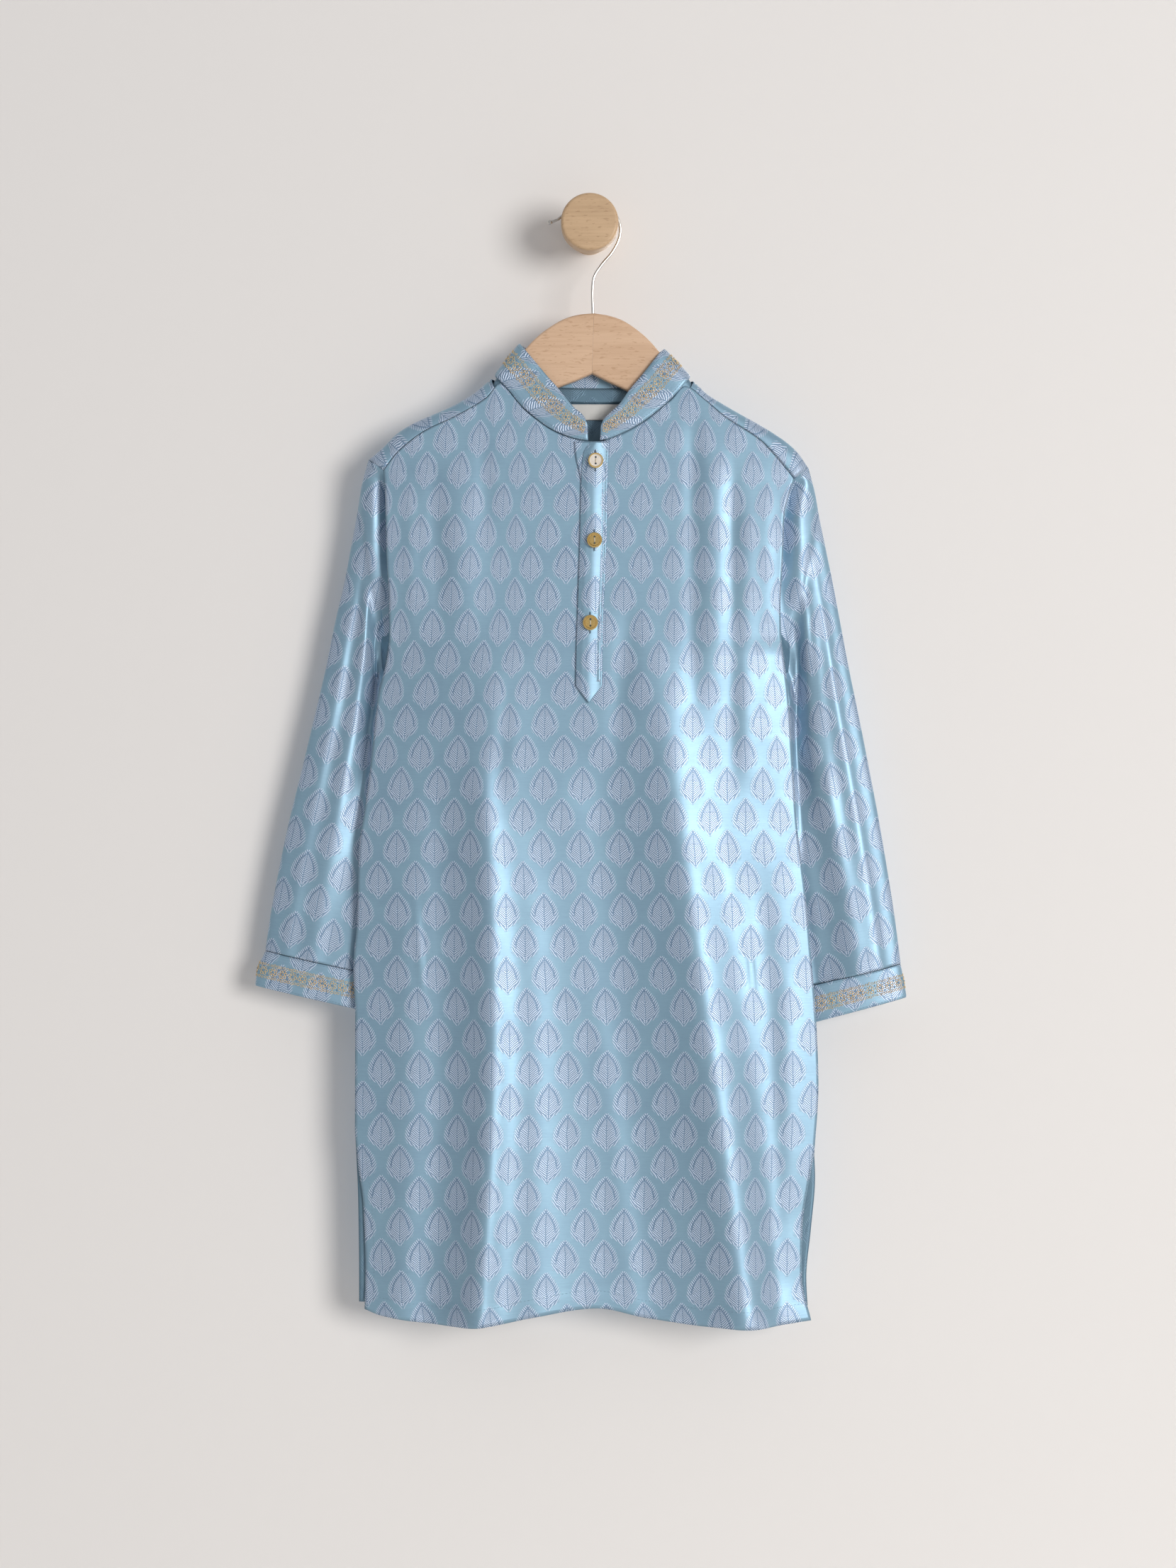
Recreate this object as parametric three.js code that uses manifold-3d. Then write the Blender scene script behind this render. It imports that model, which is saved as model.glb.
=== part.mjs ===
// A child's kurta of figured satin on a wooden hanger, hung over a turned wooden wall peg.
// Millimetres, +Z up. The wall is the plane y = 0 and the viewer stands on the -Y side.
// The origin is the middle of the peg's back face. "Depth" is the distance out from the wall,
// so a point's y is minus its depth. Left and right are as the viewer sees them.

import * as THREE from 'three';
import { mergeVertices } from 'three/addons/utils/BufferGeometryUtils.js';
import Module from 'manifold-3d';

const wasm = await Module();
wasm.setup();

// Cloth and seams
const CLOTH = 1.2; // wall of a single cloth panel
const COLLAR_CLOTH = 2.2; // two layers and the stiffening between them
const STRIP_CLOTH = 1.3; // placket and underlap, folded double and pressed
const SEAM_GAP = 0.3; // room left between pieces that are sewn or lie together
const ARMHOLE_GAP = 0.9; // a little more where the curved sleeve head meets the body
const MID_DEPTH = 40; // middle plane of the hanger and of the side seams
const SEAM_HALF = CLOTH + SEAM_GAP / 2; // outer face of each panel at the side seam, from MID_DEPTH
const SHOULDER_HALF = 6.7; // outer face of the cloth over the hanger, from MID_DEPTH
const UNDERARM_Z = -327.4;
const UNDERARM_TUCK = 1.6; // the sleeve's foot hangs this far below the underarm
const ARCH_LENGTH = 22; // cloth of the yoke from the forward seam over the hanger
const YOKE_SEAM_Z = -232; // the yoke is sewn to the back along a level seam
const SHOULDER_BLEND = 110; // below the shoulders, where the back's width settles to the body's
const SLEEVE_ROUND = 0.75; // how square a flattened sleeve is: 1 is an ellipse, less is squarer
const FOLD_FADE = 60; // length over which a fold begins and ends
const BELOW_HEM = -840; // a fold that reaches this far down runs out through the hem

// Hanger, hook and peg
const HANGER_THICK = 10;
const HANGER_ROUND = 3; // rounding of the wood's long edges
const HANGER_CENTRE_X = 3.2;
const HANGER_TOP_Z = -66.2;
const HANGER_TILT = THREE.MathUtils.degToRad(-1.8); // right arm a little low, as it hangs
const HOOK_RADIUS = 1.15;
const HOOK_SOCKET_DEPTH = 16; // drilled into the top of the wood
const HOOK_BALL_RADIUS = 2;
const PEG_STEM_RADIUS = 14.4;
const PEG_KNOB_RADIUS = 21.6;
const PEG_STEM_LENGTH = 43;
const PEG_LENGTH = 61;
const PEG_ROUND = 2.6; // rounding of the knob's face
const PEG_FILLET = 1.2; // smaller roundings behind the knob
const ROUND_MIDDLE = 1 - Math.SQRT1_2; // how far in a quarter round's middle lies

// Buttons
const BUTTON_RADIUS = 5.75;
const BUTTON_THICK = 2.4;
const BUTTON_HOLE_RADIUS = 0.8;
const BUTTON_HOLE_SPACING = 4.8; // one above the other
const BUTTON_RIM = 1.1; // width of the raised rim
const BUTTON_DISH = 0.6; // depth of the middle below the rim
const BUTTON_EDGE = 0.5; // bevel of the rim's outer edge
const BUTTON_LIFT = 0.5; // shank thread between button and placket

// Mesh fineness
const FRONT_ROWS = 24;
const BACK_ROWS = 20;
const YOKE_ROWS = 4;
const WRAP_ROWS = 6; // rows that carry the yoke over the shoulder
const WRAP_LENGTH = 30;
const SLEEVE_HEAD_ROW = 4; // sleeve section down to which the head of the sleeve goes
const ROW_GROWTH = 1.25; // rows of the body panels lie closer together near the top
const SLEEVE_AROUND = 24;

// The body's left and right edges seen from the front. Down to the underarm they are the
// armhole, whose front and back edges stand "half" before and behind MID_DEPTH. The forward
// shoulder seam meets the armhole at row SEAM_END.
const SEAM_END = 2;
const LEFT_EDGE = [
  { z: -176.6, x: -167.0, half: 0.0 },
  { z: -180.5, x: -162.0, half: 5.5 },
  { z: -185.4, x: -155.7, half: 6.7 },
  { z: -204.4, x: -154.2, half: 8.0 },
  { z: -248.2, x: -153.2, half: 8.6 },
  { z: -287.3, x: -151.3, half: 7.6 },
  { z: -310.0, x: -151.3, half: 5.2 },
  { z: -327.4, x: -153.4, half: SEAM_HALF },
  { z: -357.4, x: -160.2, half: SEAM_HALF },
  { z: -391.1, x: -163.8, half: SEAM_HALF },
  { z: -439.2, x: -169.8, half: SEAM_HALF },
  { z: -471.3, x: -174.6, half: SEAM_HALF },
  { z: -524.8, x: -176.0, half: SEAM_HALF },
  { z: -560.1, x: -178.8, half: SEAM_HALF },
  { z: -598.7, x: -177.4, half: SEAM_HALF },
  { z: -685.3, x: -177.6, half: SEAM_HALF },
];
const RIGHT_EDGE = [
  { z: -182.4, x: 165.1, half: 0.0 },
  { z: -187.0, x: 160.1, half: 5.6 },
  { z: -192.1, x: 154.6, half: 6.7 },
  { z: -206.0, x: 149.6, half: 7.6 },
  { z: -220.0, x: 146.6, half: 8.2 },
  { z: -250.0, x: 145.6, half: 8.6 },
  { z: -287.3, x: 143.8, half: 7.6 },
  { z: -310.0, x: 144.4, half: 5.2 },
  { z: -327.4, x: 146.8, half: SEAM_HALF },
  { z: -357.4, x: 150.4, half: SEAM_HALF },
  { z: -401.3, x: 153.3, half: SEAM_HALF },
  { z: -451.0, x: 156.6, half: SEAM_HALF },
  { z: -505.0, x: 163.2, half: SEAM_HALF },
  { z: -554.8, x: 167.7, half: SEAM_HALF },
  { z: -598.7, x: 171.2, half: SEAM_HALF },
  { z: -650.0, x: 173.0, half: SEAM_HALF },
  { z: -700.9, x: 169.9, half: SEAM_HALF },
];

// Below the side slits the front and back edges part.
const LEFT_SLIT = [
  { z: -685.3, front: -177.6, back: -177.6 },
  { z: -712.0, front: -175.0, back: -176.2 },
  { z: -740.4, front: -171.2, back: -175.2 },
  { z: -791.3, front: -169.6, back: -174.6 },
  { z: -819.0, front: -170.3, back: -174.6 },
];
const RIGHT_SLIT = [
  { z: -700.9, front: 169.9, back: 169.9 },
  { z: -719.6, front: 166.4, back: 170.6 },
  { z: -759.2, front: 160.8, back: 167.4 },
  { z: -795.0, front: 160.5, back: 164.0 },
  { z: -827.6, front: 167.5, back: 165.6 },
];

// Upper outline of the front panel: forward shoulder seams and the V neckline between them.
const NECK_LEFT = -67.4;
const NECK_RIGHT = 71.6;
const COLLAR_END_LEFT = -1.3;
const COLLAR_END_RIGHT = 7.5;
const FRONT_TOP = [
  { x: -155.7, z: -185.4 },
  { x: -144.5, z: -171.5 },
  { x: -124.1, z: -155.7 },
  { x: -101.7, z: -144.9 },
  { x: -77.6, z: -130.5 },
  { x: -67.4, z: -119.6 },
  { x: -58.9, z: -128.4 },
  { x: -51.1, z: -138.0 },
  { x: -39.6, z: -147.7 },
  { x: -28.9, z: -155.1 },
  { x: -17.4, z: -160.2 },
  { x: -1.3, z: -163.7 },
  { x: 7.5, z: -163.7 },
  { x: 23.5, z: -158.4 },
  { x: 34.2, z: -153.0 },
  { x: 44.9, z: -146.1 },
  { x: 53.5, z: -139.1 },
  { x: 62.6, z: -131.1 },
  { x: 71.6, z: -121.6 },
  { x: 86.1, z: -131.6 },
  { x: 101.1, z: -144.5 },
  { x: 127.3, z: -161.8 },
  { x: 136.4, z: -170.7 },
  { x: 154.6, z: -192.1 },
];

// Outline of the shoulders where the cloth turns over the hanger.
const SHOULDER_TOP = [
  { x: -167.0, z: -176.6 },
  { x: -155.7, z: -166.9 },
  { x: -146.6, z: -157.6 },
  { x: -135.4, z: -150.3 },
  { x: -101.7, z: -135.0 },
  { x: -87.2, z: -126.3 },
  { x: -70.4, z: -114.6 },
  { x: 74.0, z: -115.8 },
  { x: 89.9, z: -127.9 },
  { x: 104.9, z: -137.0 },
  { x: 145.5, z: -161.0 },
  { x: 156.8, z: -170.7 },
  { x: 165.1, z: -182.4 },
];
const BACK_NECK = [
  { x: -67.0, z: -118.6 },
  { x: -45.0, z: -122.0 },
  { x: 3.0, z: -124.8 },
  { x: 50.0, z: -123.0 },
  { x: 72.0, z: -119.6 },
];

// The yoke's upper edge from left to right: the shoulder up to "shoulder", the stretch
// that turns in round the side of the neck from "turnOut" to "turnIn", then the neck seam.
const BACK_TOP_LEFT = { shoulder: -72, turnOut: -70.2, turnIn: -66, neck: -58 };
const BACK_TOP_RIGHT = { shoulder: 76, turnOut: 74.4, turnIn: 70, neck: 62 };
const NECK_TURNS = [0.3, 0.55, 0.8, 1]; // how far round to the back each turning column starts

// The hems wave with the folds above them.
const FRONT_HEM = [
  { x: -170.3, z: -819.0 },
  { x: -157.0, z: -823.6 },
  { x: -103.0, z: -829.6 },
  { x: -72.0, z: -827.4 },
  { x: -41.0, z: -822.2 },
  { x: 6.0, z: -816.6 },
  { x: 46.5, z: -824.8 },
  { x: 86.0, z: -829.4 },
  { x: 128.0, z: -830.6 },
  { x: 167.5, z: -827.6 },
];
const BACK_HEM = [
  { x: -174.6, z: -813.7 },
  { x: -60.0, z: -819.5 },
  { x: 10.0, z: -815.5 },
  { x: 90.0, z: -821.0 },
  { x: 165.6, z: -818.6 },
];

// How far the middle of each panel stands from MID_DEPTH, and how square its cross-section is.
const FULLNESS = [
  { z: -115, front: 7.0, back: 7.6, square: 4.0 },
  { z: -160, front: 9.6, back: 8.4, square: 4.0 },
  { z: -220, front: 10.5, back: 9.0, square: 4.0 },
  { z: -330, front: 12.5, back: 10.0, square: 3.2 },
  { z: -480, front: 15.0, back: 11.5, square: 2.6 },
  { z: -650, front: 17.5, back: 12.5, square: 2.3 },
  { z: -830, front: 19.0, back: 13.5, square: 2.2 },
];
// The back stays flat beside the seams, where the sleeves lie behind it.
const BACK_FLAT_FROM = 0.8;
const BACK_FULL_AT = 0.42;

// Largest folds. Each runs from (xTop, zTop) to (xLow, zLow), bows sideways by "bow" in its
// middle, and grows from "high" to "highLow"; a negative height is a trough.
const FRONT_FOLDS = [
  { xTop: -80, zTop: -300, xLow: -84, zLow: -850, bow: 10, wide: 26, wideLow: 34, high: 2.0, highLow: 7.5 },
  { xTop: 46, zTop: -300, xLow: 124, zLow: -850, bow: 0, wide: 26, wideLow: 34, high: 2.5, highLow: 9.5 },
  { xTop: -20, zTop: -420, xLow: 8, zLow: -850, bow: 0, wide: 30, wideLow: 36, high: -1.0, highLow: -6.0 },
  { xTop: -100, zTop: -165, xLow: -96, zLow: -330, bow: 0, wide: 15, wideLow: 17, high: 1.5, highLow: 1.5 },
  { xTop: 92, zTop: -150, xLow: 96, zLow: -360, bow: 0, wide: 13, wideLow: 15, high: 1.8, highLow: 1.8 },
  { xTop: 122, zTop: -185, xLow: 120, zLow: -430, bow: 0, wide: 12, wideLow: 15, high: 1.8, highLow: 1.8 },
];
const BACK_FOLDS = [
  { xTop: -58, zTop: -230, xLow: -74, zLow: -850, bow: -6, wide: 26, wideLow: 34, high: 2.0, highLow: 6.5 },
  { xTop: 62, zTop: -260, xLow: 84, zLow: -850, bow: 6, wide: 26, wideLow: 34, high: 2.0, highLow: 6.0 },
  { xTop: 2, zTop: -330, xLow: 10, zLow: -850, bow: 0, wide: 26, wideLow: 30, high: -1.5, highLow: -4.5 },
];

// Sleeve sections below the armhole, each a line from the outer fold to the inner fold, with
// the depths of its front and back faces. The last row is the cuff seam.
const LEFT_SLEEVE = [
  { xOut: -172.8, zOut: -194.7, xIn: -154.8, zIn: -337.0, front: 40.4, back: 29.0 },
  { xOut: -176.2, zOut: -214.0, xIn: -155.0, zIn: -350.0, front: 37.2, back: 25.0 },
  { xOut: -181.0, zOut: -239.1, xIn: -154.6, zIn: -364.0, front: 36.4, back: 21.5 },
  { xOut: -186.9, zOut: -269.6, xIn: -151.4, zIn: -380.9, front: 36.0, back: 19.0 },
  { xOut: -193.7, zOut: -298.5, xIn: -148.4, zIn: -398.0, front: 35.8, back: 18.0 },
  { xOut: -201.2, zOut: -335.4, xIn: -146.0, zIn: -418.4, front: 35.6, back: 18.0 },
  { xOut: -209.7, zOut: -371.3, xIn: -144.8, zIn: -439.8, front: 35.5, back: 18.0 },
  { xOut: -219.2, zOut: -411.4, xIn: -145.0, zIn: -463.8, front: 35.5, back: 18.0 },
  { xOut: -229.0, zOut: -451.0, xIn: -147.0, zIn: -490.6, front: 35.5, back: 18.0 },
  { xOut: -237.4, zOut: -491.1, xIn: -151.0, zIn: -520.0, front: 35.5, back: 18.0 },
  { xOut: -243.6, zOut: -525.4, xIn: -156.2, zIn: -549.4, front: 35.5, back: 18.0 },
  { xOut: -246.8, zOut: -548.4, xIn: -160.5, zIn: -567.6, front: 35.5, back: 18.0 },
];
const RIGHT_SLEEVE = [
  { xOut: 170.7, zOut: -200.6, xIn: 147.6, zIn: -337.0, front: 40.4, back: 29.0 },
  { xOut: 174.4, zOut: -219.4, xIn: 147.8, zIn: -351.0, front: 37.2, back: 25.0 },
  { xOut: 179.2, zOut: -241.8, xIn: 148.2, zIn: -366.0, front: 36.4, back: 21.5 },
  { xOut: 185.1, zOut: -269.6, xIn: 145.4, zIn: -384.0, front: 36.0, back: 19.0 },
  { xOut: 191.0, zOut: -300.7, xIn: 142.8, zIn: -403.4, front: 35.8, back: 18.0 },
  { xOut: 197.6, zOut: -335.4, xIn: 141.2, zIn: -424.8, front: 35.6, back: 18.0 },
  { xOut: 204.6, zOut: -369.2, xIn: 141.0, zIn: -447.8, front: 35.5, back: 18.0 },
  { xOut: 212.2, zOut: -407.7, xIn: 142.2, zIn: -471.9, front: 35.5, back: 18.0 },
  { xOut: 219.8, zOut: -447.8, xIn: 145.0, zIn: -498.6, front: 35.5, back: 18.0 },
  { xOut: 226.8, zOut: -489.0, xIn: 149.0, zIn: -528.0, front: 35.5, back: 18.0 },
  { xOut: 232.8, zOut: -528.0, xIn: 153.2, zIn: -557.5, front: 35.5, back: 18.0 },
  { xOut: 236.7, zOut: -558.5, xIn: 156.2, zIn: -577.8, front: 35.5, back: 18.0 },
];
const LEFT_CUFF = [
  { xOut: -246.8, zOut: -548.4, xIn: -160.5, zIn: -567.6, front: 35.7, back: 17.8 },
  { xOut: -252.4, zOut: -561.8, xIn: -160.4, zIn: -582.1, front: 36.2, back: 17.4 },
  { xOut: -254.7, zOut: -575.1, xIn: -161.0, zIn: -596.5, front: 36.2, back: 17.4 },
];
const RIGHT_CUFF = [
  { xOut: 236.7, zOut: -558.5, xIn: 156.2, zIn: -577.8, front: 35.7, back: 17.8 },
  { xOut: 239.0, zOut: -571.4, xIn: 156.8, zIn: -592.8, front: 36.2, back: 17.4 },
  { xOut: 241.3, zOut: -584.0, xIn: 158.0, zIn: -606.2, front: 36.2, back: 17.4 },
];

// The collar band, section by section from its left front end round the back to its right
// front end: its sewn lower edge and its free upper edge, with the depth of its inner face.
const COLLAR = [
  { x: -1.3, z: -163.2, xUp: -1.5, zUp: -151.5, depth: 48.6 },
  { x: -5.0, z: -162.7, xUp: -3.3, zUp: -146.6, depth: 48.6 },
  { x: -12.0, z: -161.3, xUp: -6.6, zUp: -142.4, depth: 48.5 },
  { x: -20.0, z: -158.5, xUp: -10.8, zUp: -139.2, depth: 48.4 },
  { x: -31.0, z: -153.2, xUp: -18.0, zUp: -130.8, depth: 48.2 },
  { x: -42.0, z: -145.1, xUp: -25.5, zUp: -121.7, depth: 47.8 },
  { x: -52.0, z: -136.1, xUp: -31.6, zUp: -115.0, depth: 47.4 },
  { x: -60.0, z: -126.2, xUp: -37.2, zUp: -108.2, depth: 47.0 },
  { x: -66.4, z: -119.2, xUp: -43.4, zUp: -100.8, depth: 46.6 },
  { x: -69.6, z: -115.6, xUp: -49.4, zUp: -93.4, depth: 44.8 },
  { x: -70.6, z: -113.6, xUp: -52.0, zUp: -89.6, depth: 40.0 },
  { x: -69.6, z: -115.2, xUp: -50.4, zUp: -90.4, depth: 35.4 },
  { x: -65.6, z: -117.8, xUp: -47.4, zUp: -91.4, depth: 33.7 },
  { x: -55.0, z: -119.9, xUp: -40.0, zUp: -93.0, depth: 33.5 },
  { x: -30.0, z: -123.0, xUp: -23.0, zUp: -95.6, depth: 33.4 },
  { x: 3.0, z: -124.2, xUp: 3.0, zUp: -96.6, depth: 33.4 },
  { x: 34.0, z: -123.4, xUp: 28.0, zUp: -96.2, depth: 33.4 },
  { x: 59.0, z: -121.0, xUp: 44.0, zUp: -95.6, depth: 33.5 },
  { x: 70.4, z: -118.6, xUp: 51.4, zUp: -94.8, depth: 33.7 },
  { x: 74.0, z: -116.4, xUp: 54.2, zUp: -94.2, depth: 35.4 },
  { x: 75.0, z: -114.8, xUp: 55.4, zUp: -93.8, depth: 40.0 },
  { x: 74.0, z: -117.0, xUp: 52.6, zUp: -96.8, depth: 44.8 },
  { x: 70.6, z: -121.4, xUp: 47.6, zUp: -103.2, depth: 46.6 },
  { x: 62.6, z: -130.2, xUp: 41.0, zUp: -111.6, depth: 47.0 },
  { x: 53.5, z: -138.2, xUp: 35.0, zUp: -118.8, depth: 47.4 },
  { x: 44.9, z: -145.3, xUp: 29.4, zUp: -125.6, depth: 47.8 },
  { x: 34.2, z: -152.3, xUp: 22.6, zUp: -135.2, depth: 48.2 },
  { x: 23.5, z: -157.8, xUp: 15.6, zUp: -142.0, depth: 48.4 },
  { x: 15.0, z: -161.3, xUp: 10.6, zUp: -147.0, depth: 48.5 },
  { x: 7.7, z: -163.2, xUp: 8.2, zUp: -152.0, depth: 48.6 },
];
const COLLAR_BANDS = 3; // strips across the band's height

// Placket and underlap: their two long edges, from the neck down.
const PLACKET = [
  { z: -164.2, left: 0.6, right: 14.6 },
  { z: -172.3, left: -4.6, right: 14.1 },
  { z: -186.7, left: -6.2, right: 13.5 },
  { z: -232.7, left: -7.3, right: 12.9 },
  { z: -267.0, left: -8.3, right: 11.6 },
  { z: -294.3, left: -9.2, right: 10.2 },
  { z: -321.5, left: -10.1, right: 9.6 },
  { z: -348.0, left: -10.6, right: 9.3 },
];
const PLACKET_POINT = 13.1; // length of the point below the last row
const PLACKET_ROWS = 20;
const UNDERLAP = [
  { z: -164.2, left: -11.6, right: 7.0 },
  { z: -172.3, left: -11.0, right: 8.0 },
  { z: -200.0, left: -6.0, right: 10.0 },
  { z: -345.0, left: -9.0, right: 8.0 },
];
const UNDERLAP_ROWS = 12;
// The cut down the front behind the placket
const OPENING_CUT = { x: 2.2, top: -125, bottom: -336, wide: 0.8, deep: 40 };
const BUTTON_PLACES = [
  { x: 4.5, z: -178.7 },
  { x: 3.6, z: -238.6 },
  { x: 0.5, z: -300.7 },
];

const LABEL = { left: -19, right: 27, top: -134.0, bottom: -146.0, thick: 1 };
const POCKET_BAGS = [
  { name: 'pocket_bag_left', seamX: -158.0, foldX: -127.5, top: -494, bottom: -594 },
  { name: 'pocket_bag_right', seamX: 146.0, foldX: 122.0, top: -508, bottom: -595 },
];
const POCKET_THICK = 2.4; // both layers of the bag, lying flat on each other
const POCKET_BEHIND = 1.9; // from the front's outer face in to the bag
const GRID_SHARES = [0, 0.2, 0.4, 0.6, 0.8, 1]; // columns of a label or bag, side to side
const STRIP_SHARES = [0, 0.25, 0.5, 0.75, 1]; // columns of the placket and underlap

// Hanger outline on one side of the centre joint: its upper and lower edges, measured out
// from the joint and down from the top.
const HANGER_ARM = [
  { out: 0, top: 0.0, bottom: -45.8 },
  { out: 12, top: -1.6, bottom: -51.5 },
  { out: 21, top: -4.4, bottom: -55.2 },
  { out: 32, top: -10.8, bottom: -60.5 },
  { out: 42, top: -18.8, bottom: -66.0 },
  { out: 52, top: -29.8, bottom: -72.0 },
  { out: 63, top: -44.0, bottom: -79.0 },
  { out: 73, top: -56.5, bottom: -85.0 },
  { out: 90, top: -69.8, bottom: -94.0 },
  { out: 105, top: -79.4, bottom: -101.5 },
  { out: 124, top: -90.4, bottom: -108.5 },
  { out: 142, top: -101.2, bottom: -113.5 },
];
const HANGER_NOSE = 5; // rounding of each arm's end
const HANGER_STEPS = 14;

// Centre line of the hook, from inside the wood up and over the peg to its free end.
const HOOK_ROUTE = [
  [2.6, -80],
  [2.4, -66],
  [2.1, -48],
  [3.2, -38.6],
  [9.2, -28.9],
  [17.2, -19.4],
  [22.6, -8],
  [22.6, 2],
  [18.6, 10],
  [10, 15],
  [0, 16],
  [-10, 14.2],
  [-18.7, 9.6],
  [-24.4, 5],
  [-30, 3],
];
const HOOK_STEPS = 48;
const HOOK_SIDES = 5; // in each half turn

const COLOURS = {
  satin: 0x8facc0,
  satinLight: 0x9dbad0,
  collar: 0x8ea6b4,
  button: 0xd8b45c,
  label: 0xe9e9e6,
  wood: 0xd9b98c,
  pegWood: 0xcfa777,
  wire: 0xa9a9a6,
};

// Value of a column of a table at a place along its key column, on a smooth curve that never
// swings past its rows. Rows run steadily up or down in the key, and the ends hold level.
function read(rows, key, column, at) {
  const last = rows.length - 1;
  const way = Math.sign(rows[last][key] - rows[0][key]);
  const t = way * at;
  const keys = rows.map((row) => way * row[key]);
  if (t <= keys[0]) return rows[0][column];
  if (t >= keys[last]) return rows[last][column];
  let i = 0;
  while (t > keys[i + 1]) i += 1;
  const rise = (j) => (rows[j + 1][column] - rows[j][column]) / (keys[j + 1] - keys[j]);
  const slope = (j) => {
    if (j === 0) return rise(0);
    if (j === last) return rise(last - 1);
    const before = rise(j - 1);
    const after = rise(j);
    return before * after > 0 ? (2 * before * after) / (before + after) : 0;
  };
  const span = keys[i + 1] - keys[i];
  const f = (t - keys[i]) / span;
  const hermite00 = (1 + 2 * f) * (1 - f) * (1 - f);
  const hermite10 = f * (1 - f) * (1 - f);
  const hermite01 = f * f * (3 - 2 * f);
  const hermite11 = f * f * (f - 1);
  const values = hermite00 * rows[i][column] + hermite01 * rows[i + 1][column];
  return values + span * (hermite10 * slope(i) + hermite11 * slope(i + 1));
}

const mix = THREE.MathUtils.lerp;
const clamp = THREE.MathUtils.clamp;
const smooth = (t) => THREE.MathUtils.smoothstep(t, 0, 1);
const at = (x, depth, z) => new THREE.Vector3(x, -depth, z);

// Body edges and the surfaces of the front and back panels

const leftEdge = (z, face) =>
  z < LEFT_SLIT[0].z ? read(LEFT_SLIT, 'z', face, z) : read(LEFT_EDGE, 'z', 'x', z);
const rightEdge = (z, face) =>
  z < RIGHT_SLIT[0].z ? read(RIGHT_SLIT, 'z', face, z) : read(RIGHT_EDGE, 'z', 'x', z);

// Where x lies between the body's edges, from -1 to 1.
function across(x, z, face) {
  const left = leftEdge(z, face);
  const right = rightEdge(z, face);
  return clamp((2 * x - left - right) / (right - left), -1, 1);
}

// Half the depth of the body at an edge. Above the armhole's seam end it stays level.
function edgeHalf(side, z) {
  const rows = side < 0 ? LEFT_EDGE : RIGHT_EDGE;
  return z > rows[SEAM_END].z ? SHOULDER_HALF : read(rows, 'z', 'half', z);
}

function foldHeight(folds, x, z) {
  let height = 0;
  for (const fold of folds) {
    if (z > fold.zTop || z < fold.zLow) continue;
    const down = (fold.zTop - z) / (fold.zTop - fold.zLow);
    const centre = mix(fold.xTop, fold.xLow, down) + fold.bow * Math.sin(Math.PI * down);
    const wide = mix(fold.wide, fold.wideLow, down);
    const fadeIn = smooth((fold.zTop - z) / FOLD_FADE);
    const fadeOut = fold.zLow < BELOW_HEM ? 1 : smooth((z - fold.zLow) / FOLD_FADE);
    const high = mix(fold.high, fold.highLow, down);
    height += high * fadeIn * fadeOut * Math.exp(-(((x - centre) / wide) ** 2));
  }
  return height;
}

// Depth of the outer face of the front panel.
function frontDepth(x, z) {
  const u = across(x, z, 'front');
  const edge = mix(edgeHalf(-1, z), edgeHalf(1, z), (u + 1) / 2);
  const middle = read(FULLNESS, 'z', 'front', z);
  const full = 1 - Math.abs(u) ** read(FULLNESS, 'z', 'square', z);
  const fold = foldHeight(FRONT_FOLDS, x, z) * (1 - u ** 6);
  return MID_DEPTH + edge + (middle - edge) * full + fold;
}

// Depth of the outer face of the back panel, which looks at the wall.
function backDepth(x, z) {
  const u = across(x, z, 'back');
  const edge = mix(edgeHalf(-1, z), edgeHalf(1, z), (u + 1) / 2);
  const middle = read(FULLNESS, 'z', 'back', z);
  const full = smooth((BACK_FLAT_FROM - Math.abs(u)) / (BACK_FLAT_FROM - BACK_FULL_AT));
  const fold = foldHeight(BACK_FOLDS, x, z) * full;
  return MID_DEPTH - edge - (middle - edge) * full - fold;
}

// Closed solids

// Triangles of a grid of points; points[row][column].
function gridFaces(rows, columns, index, closed) {
  const faces = [];
  const spans = closed ? columns : columns - 1;
  for (let r = 0; r < rows - 1; r += 1) {
    for (let c = 0; c < spans; c += 1) {
      const next = (c + 1) % columns;
      faces.push(index(r, c), index(r, next), index(r + 1, next));
      faces.push(index(r, c), index(r + 1, next), index(r + 1, c));
    }
  }
  return faces;
}

function geometryOf(points, faces) {
  const geometry = new THREE.BufferGeometry();
  const numbers = points.flatMap((point) => point.toArray());
  geometry.setAttribute('position', new THREE.Float32BufferAttribute(numbers, 3));
  geometry.setIndex(enclosed(points, faces) < 0 ? turned(faces) : faces);
  geometry.computeVertexNormals();
  return geometry;
}

// Six times the volume that the faces enclose; below nought when they point inwards.
function enclosed(points, faces) {
  let sum = 0;
  for (let i = 0; i < faces.length; i += 3) {
    const [a, b, c] = [points[faces[i]], points[faces[i + 1]], points[faces[i + 2]]];
    sum += a.dot(new THREE.Vector3().crossVectors(b, c));
  }
  return sum;
}

function turned(faces) {
  const out = [];
  for (let i = 0; i < faces.length; i += 3) out.push(faces[i], faces[i + 2], faces[i + 1]);
  return out;
}

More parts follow.
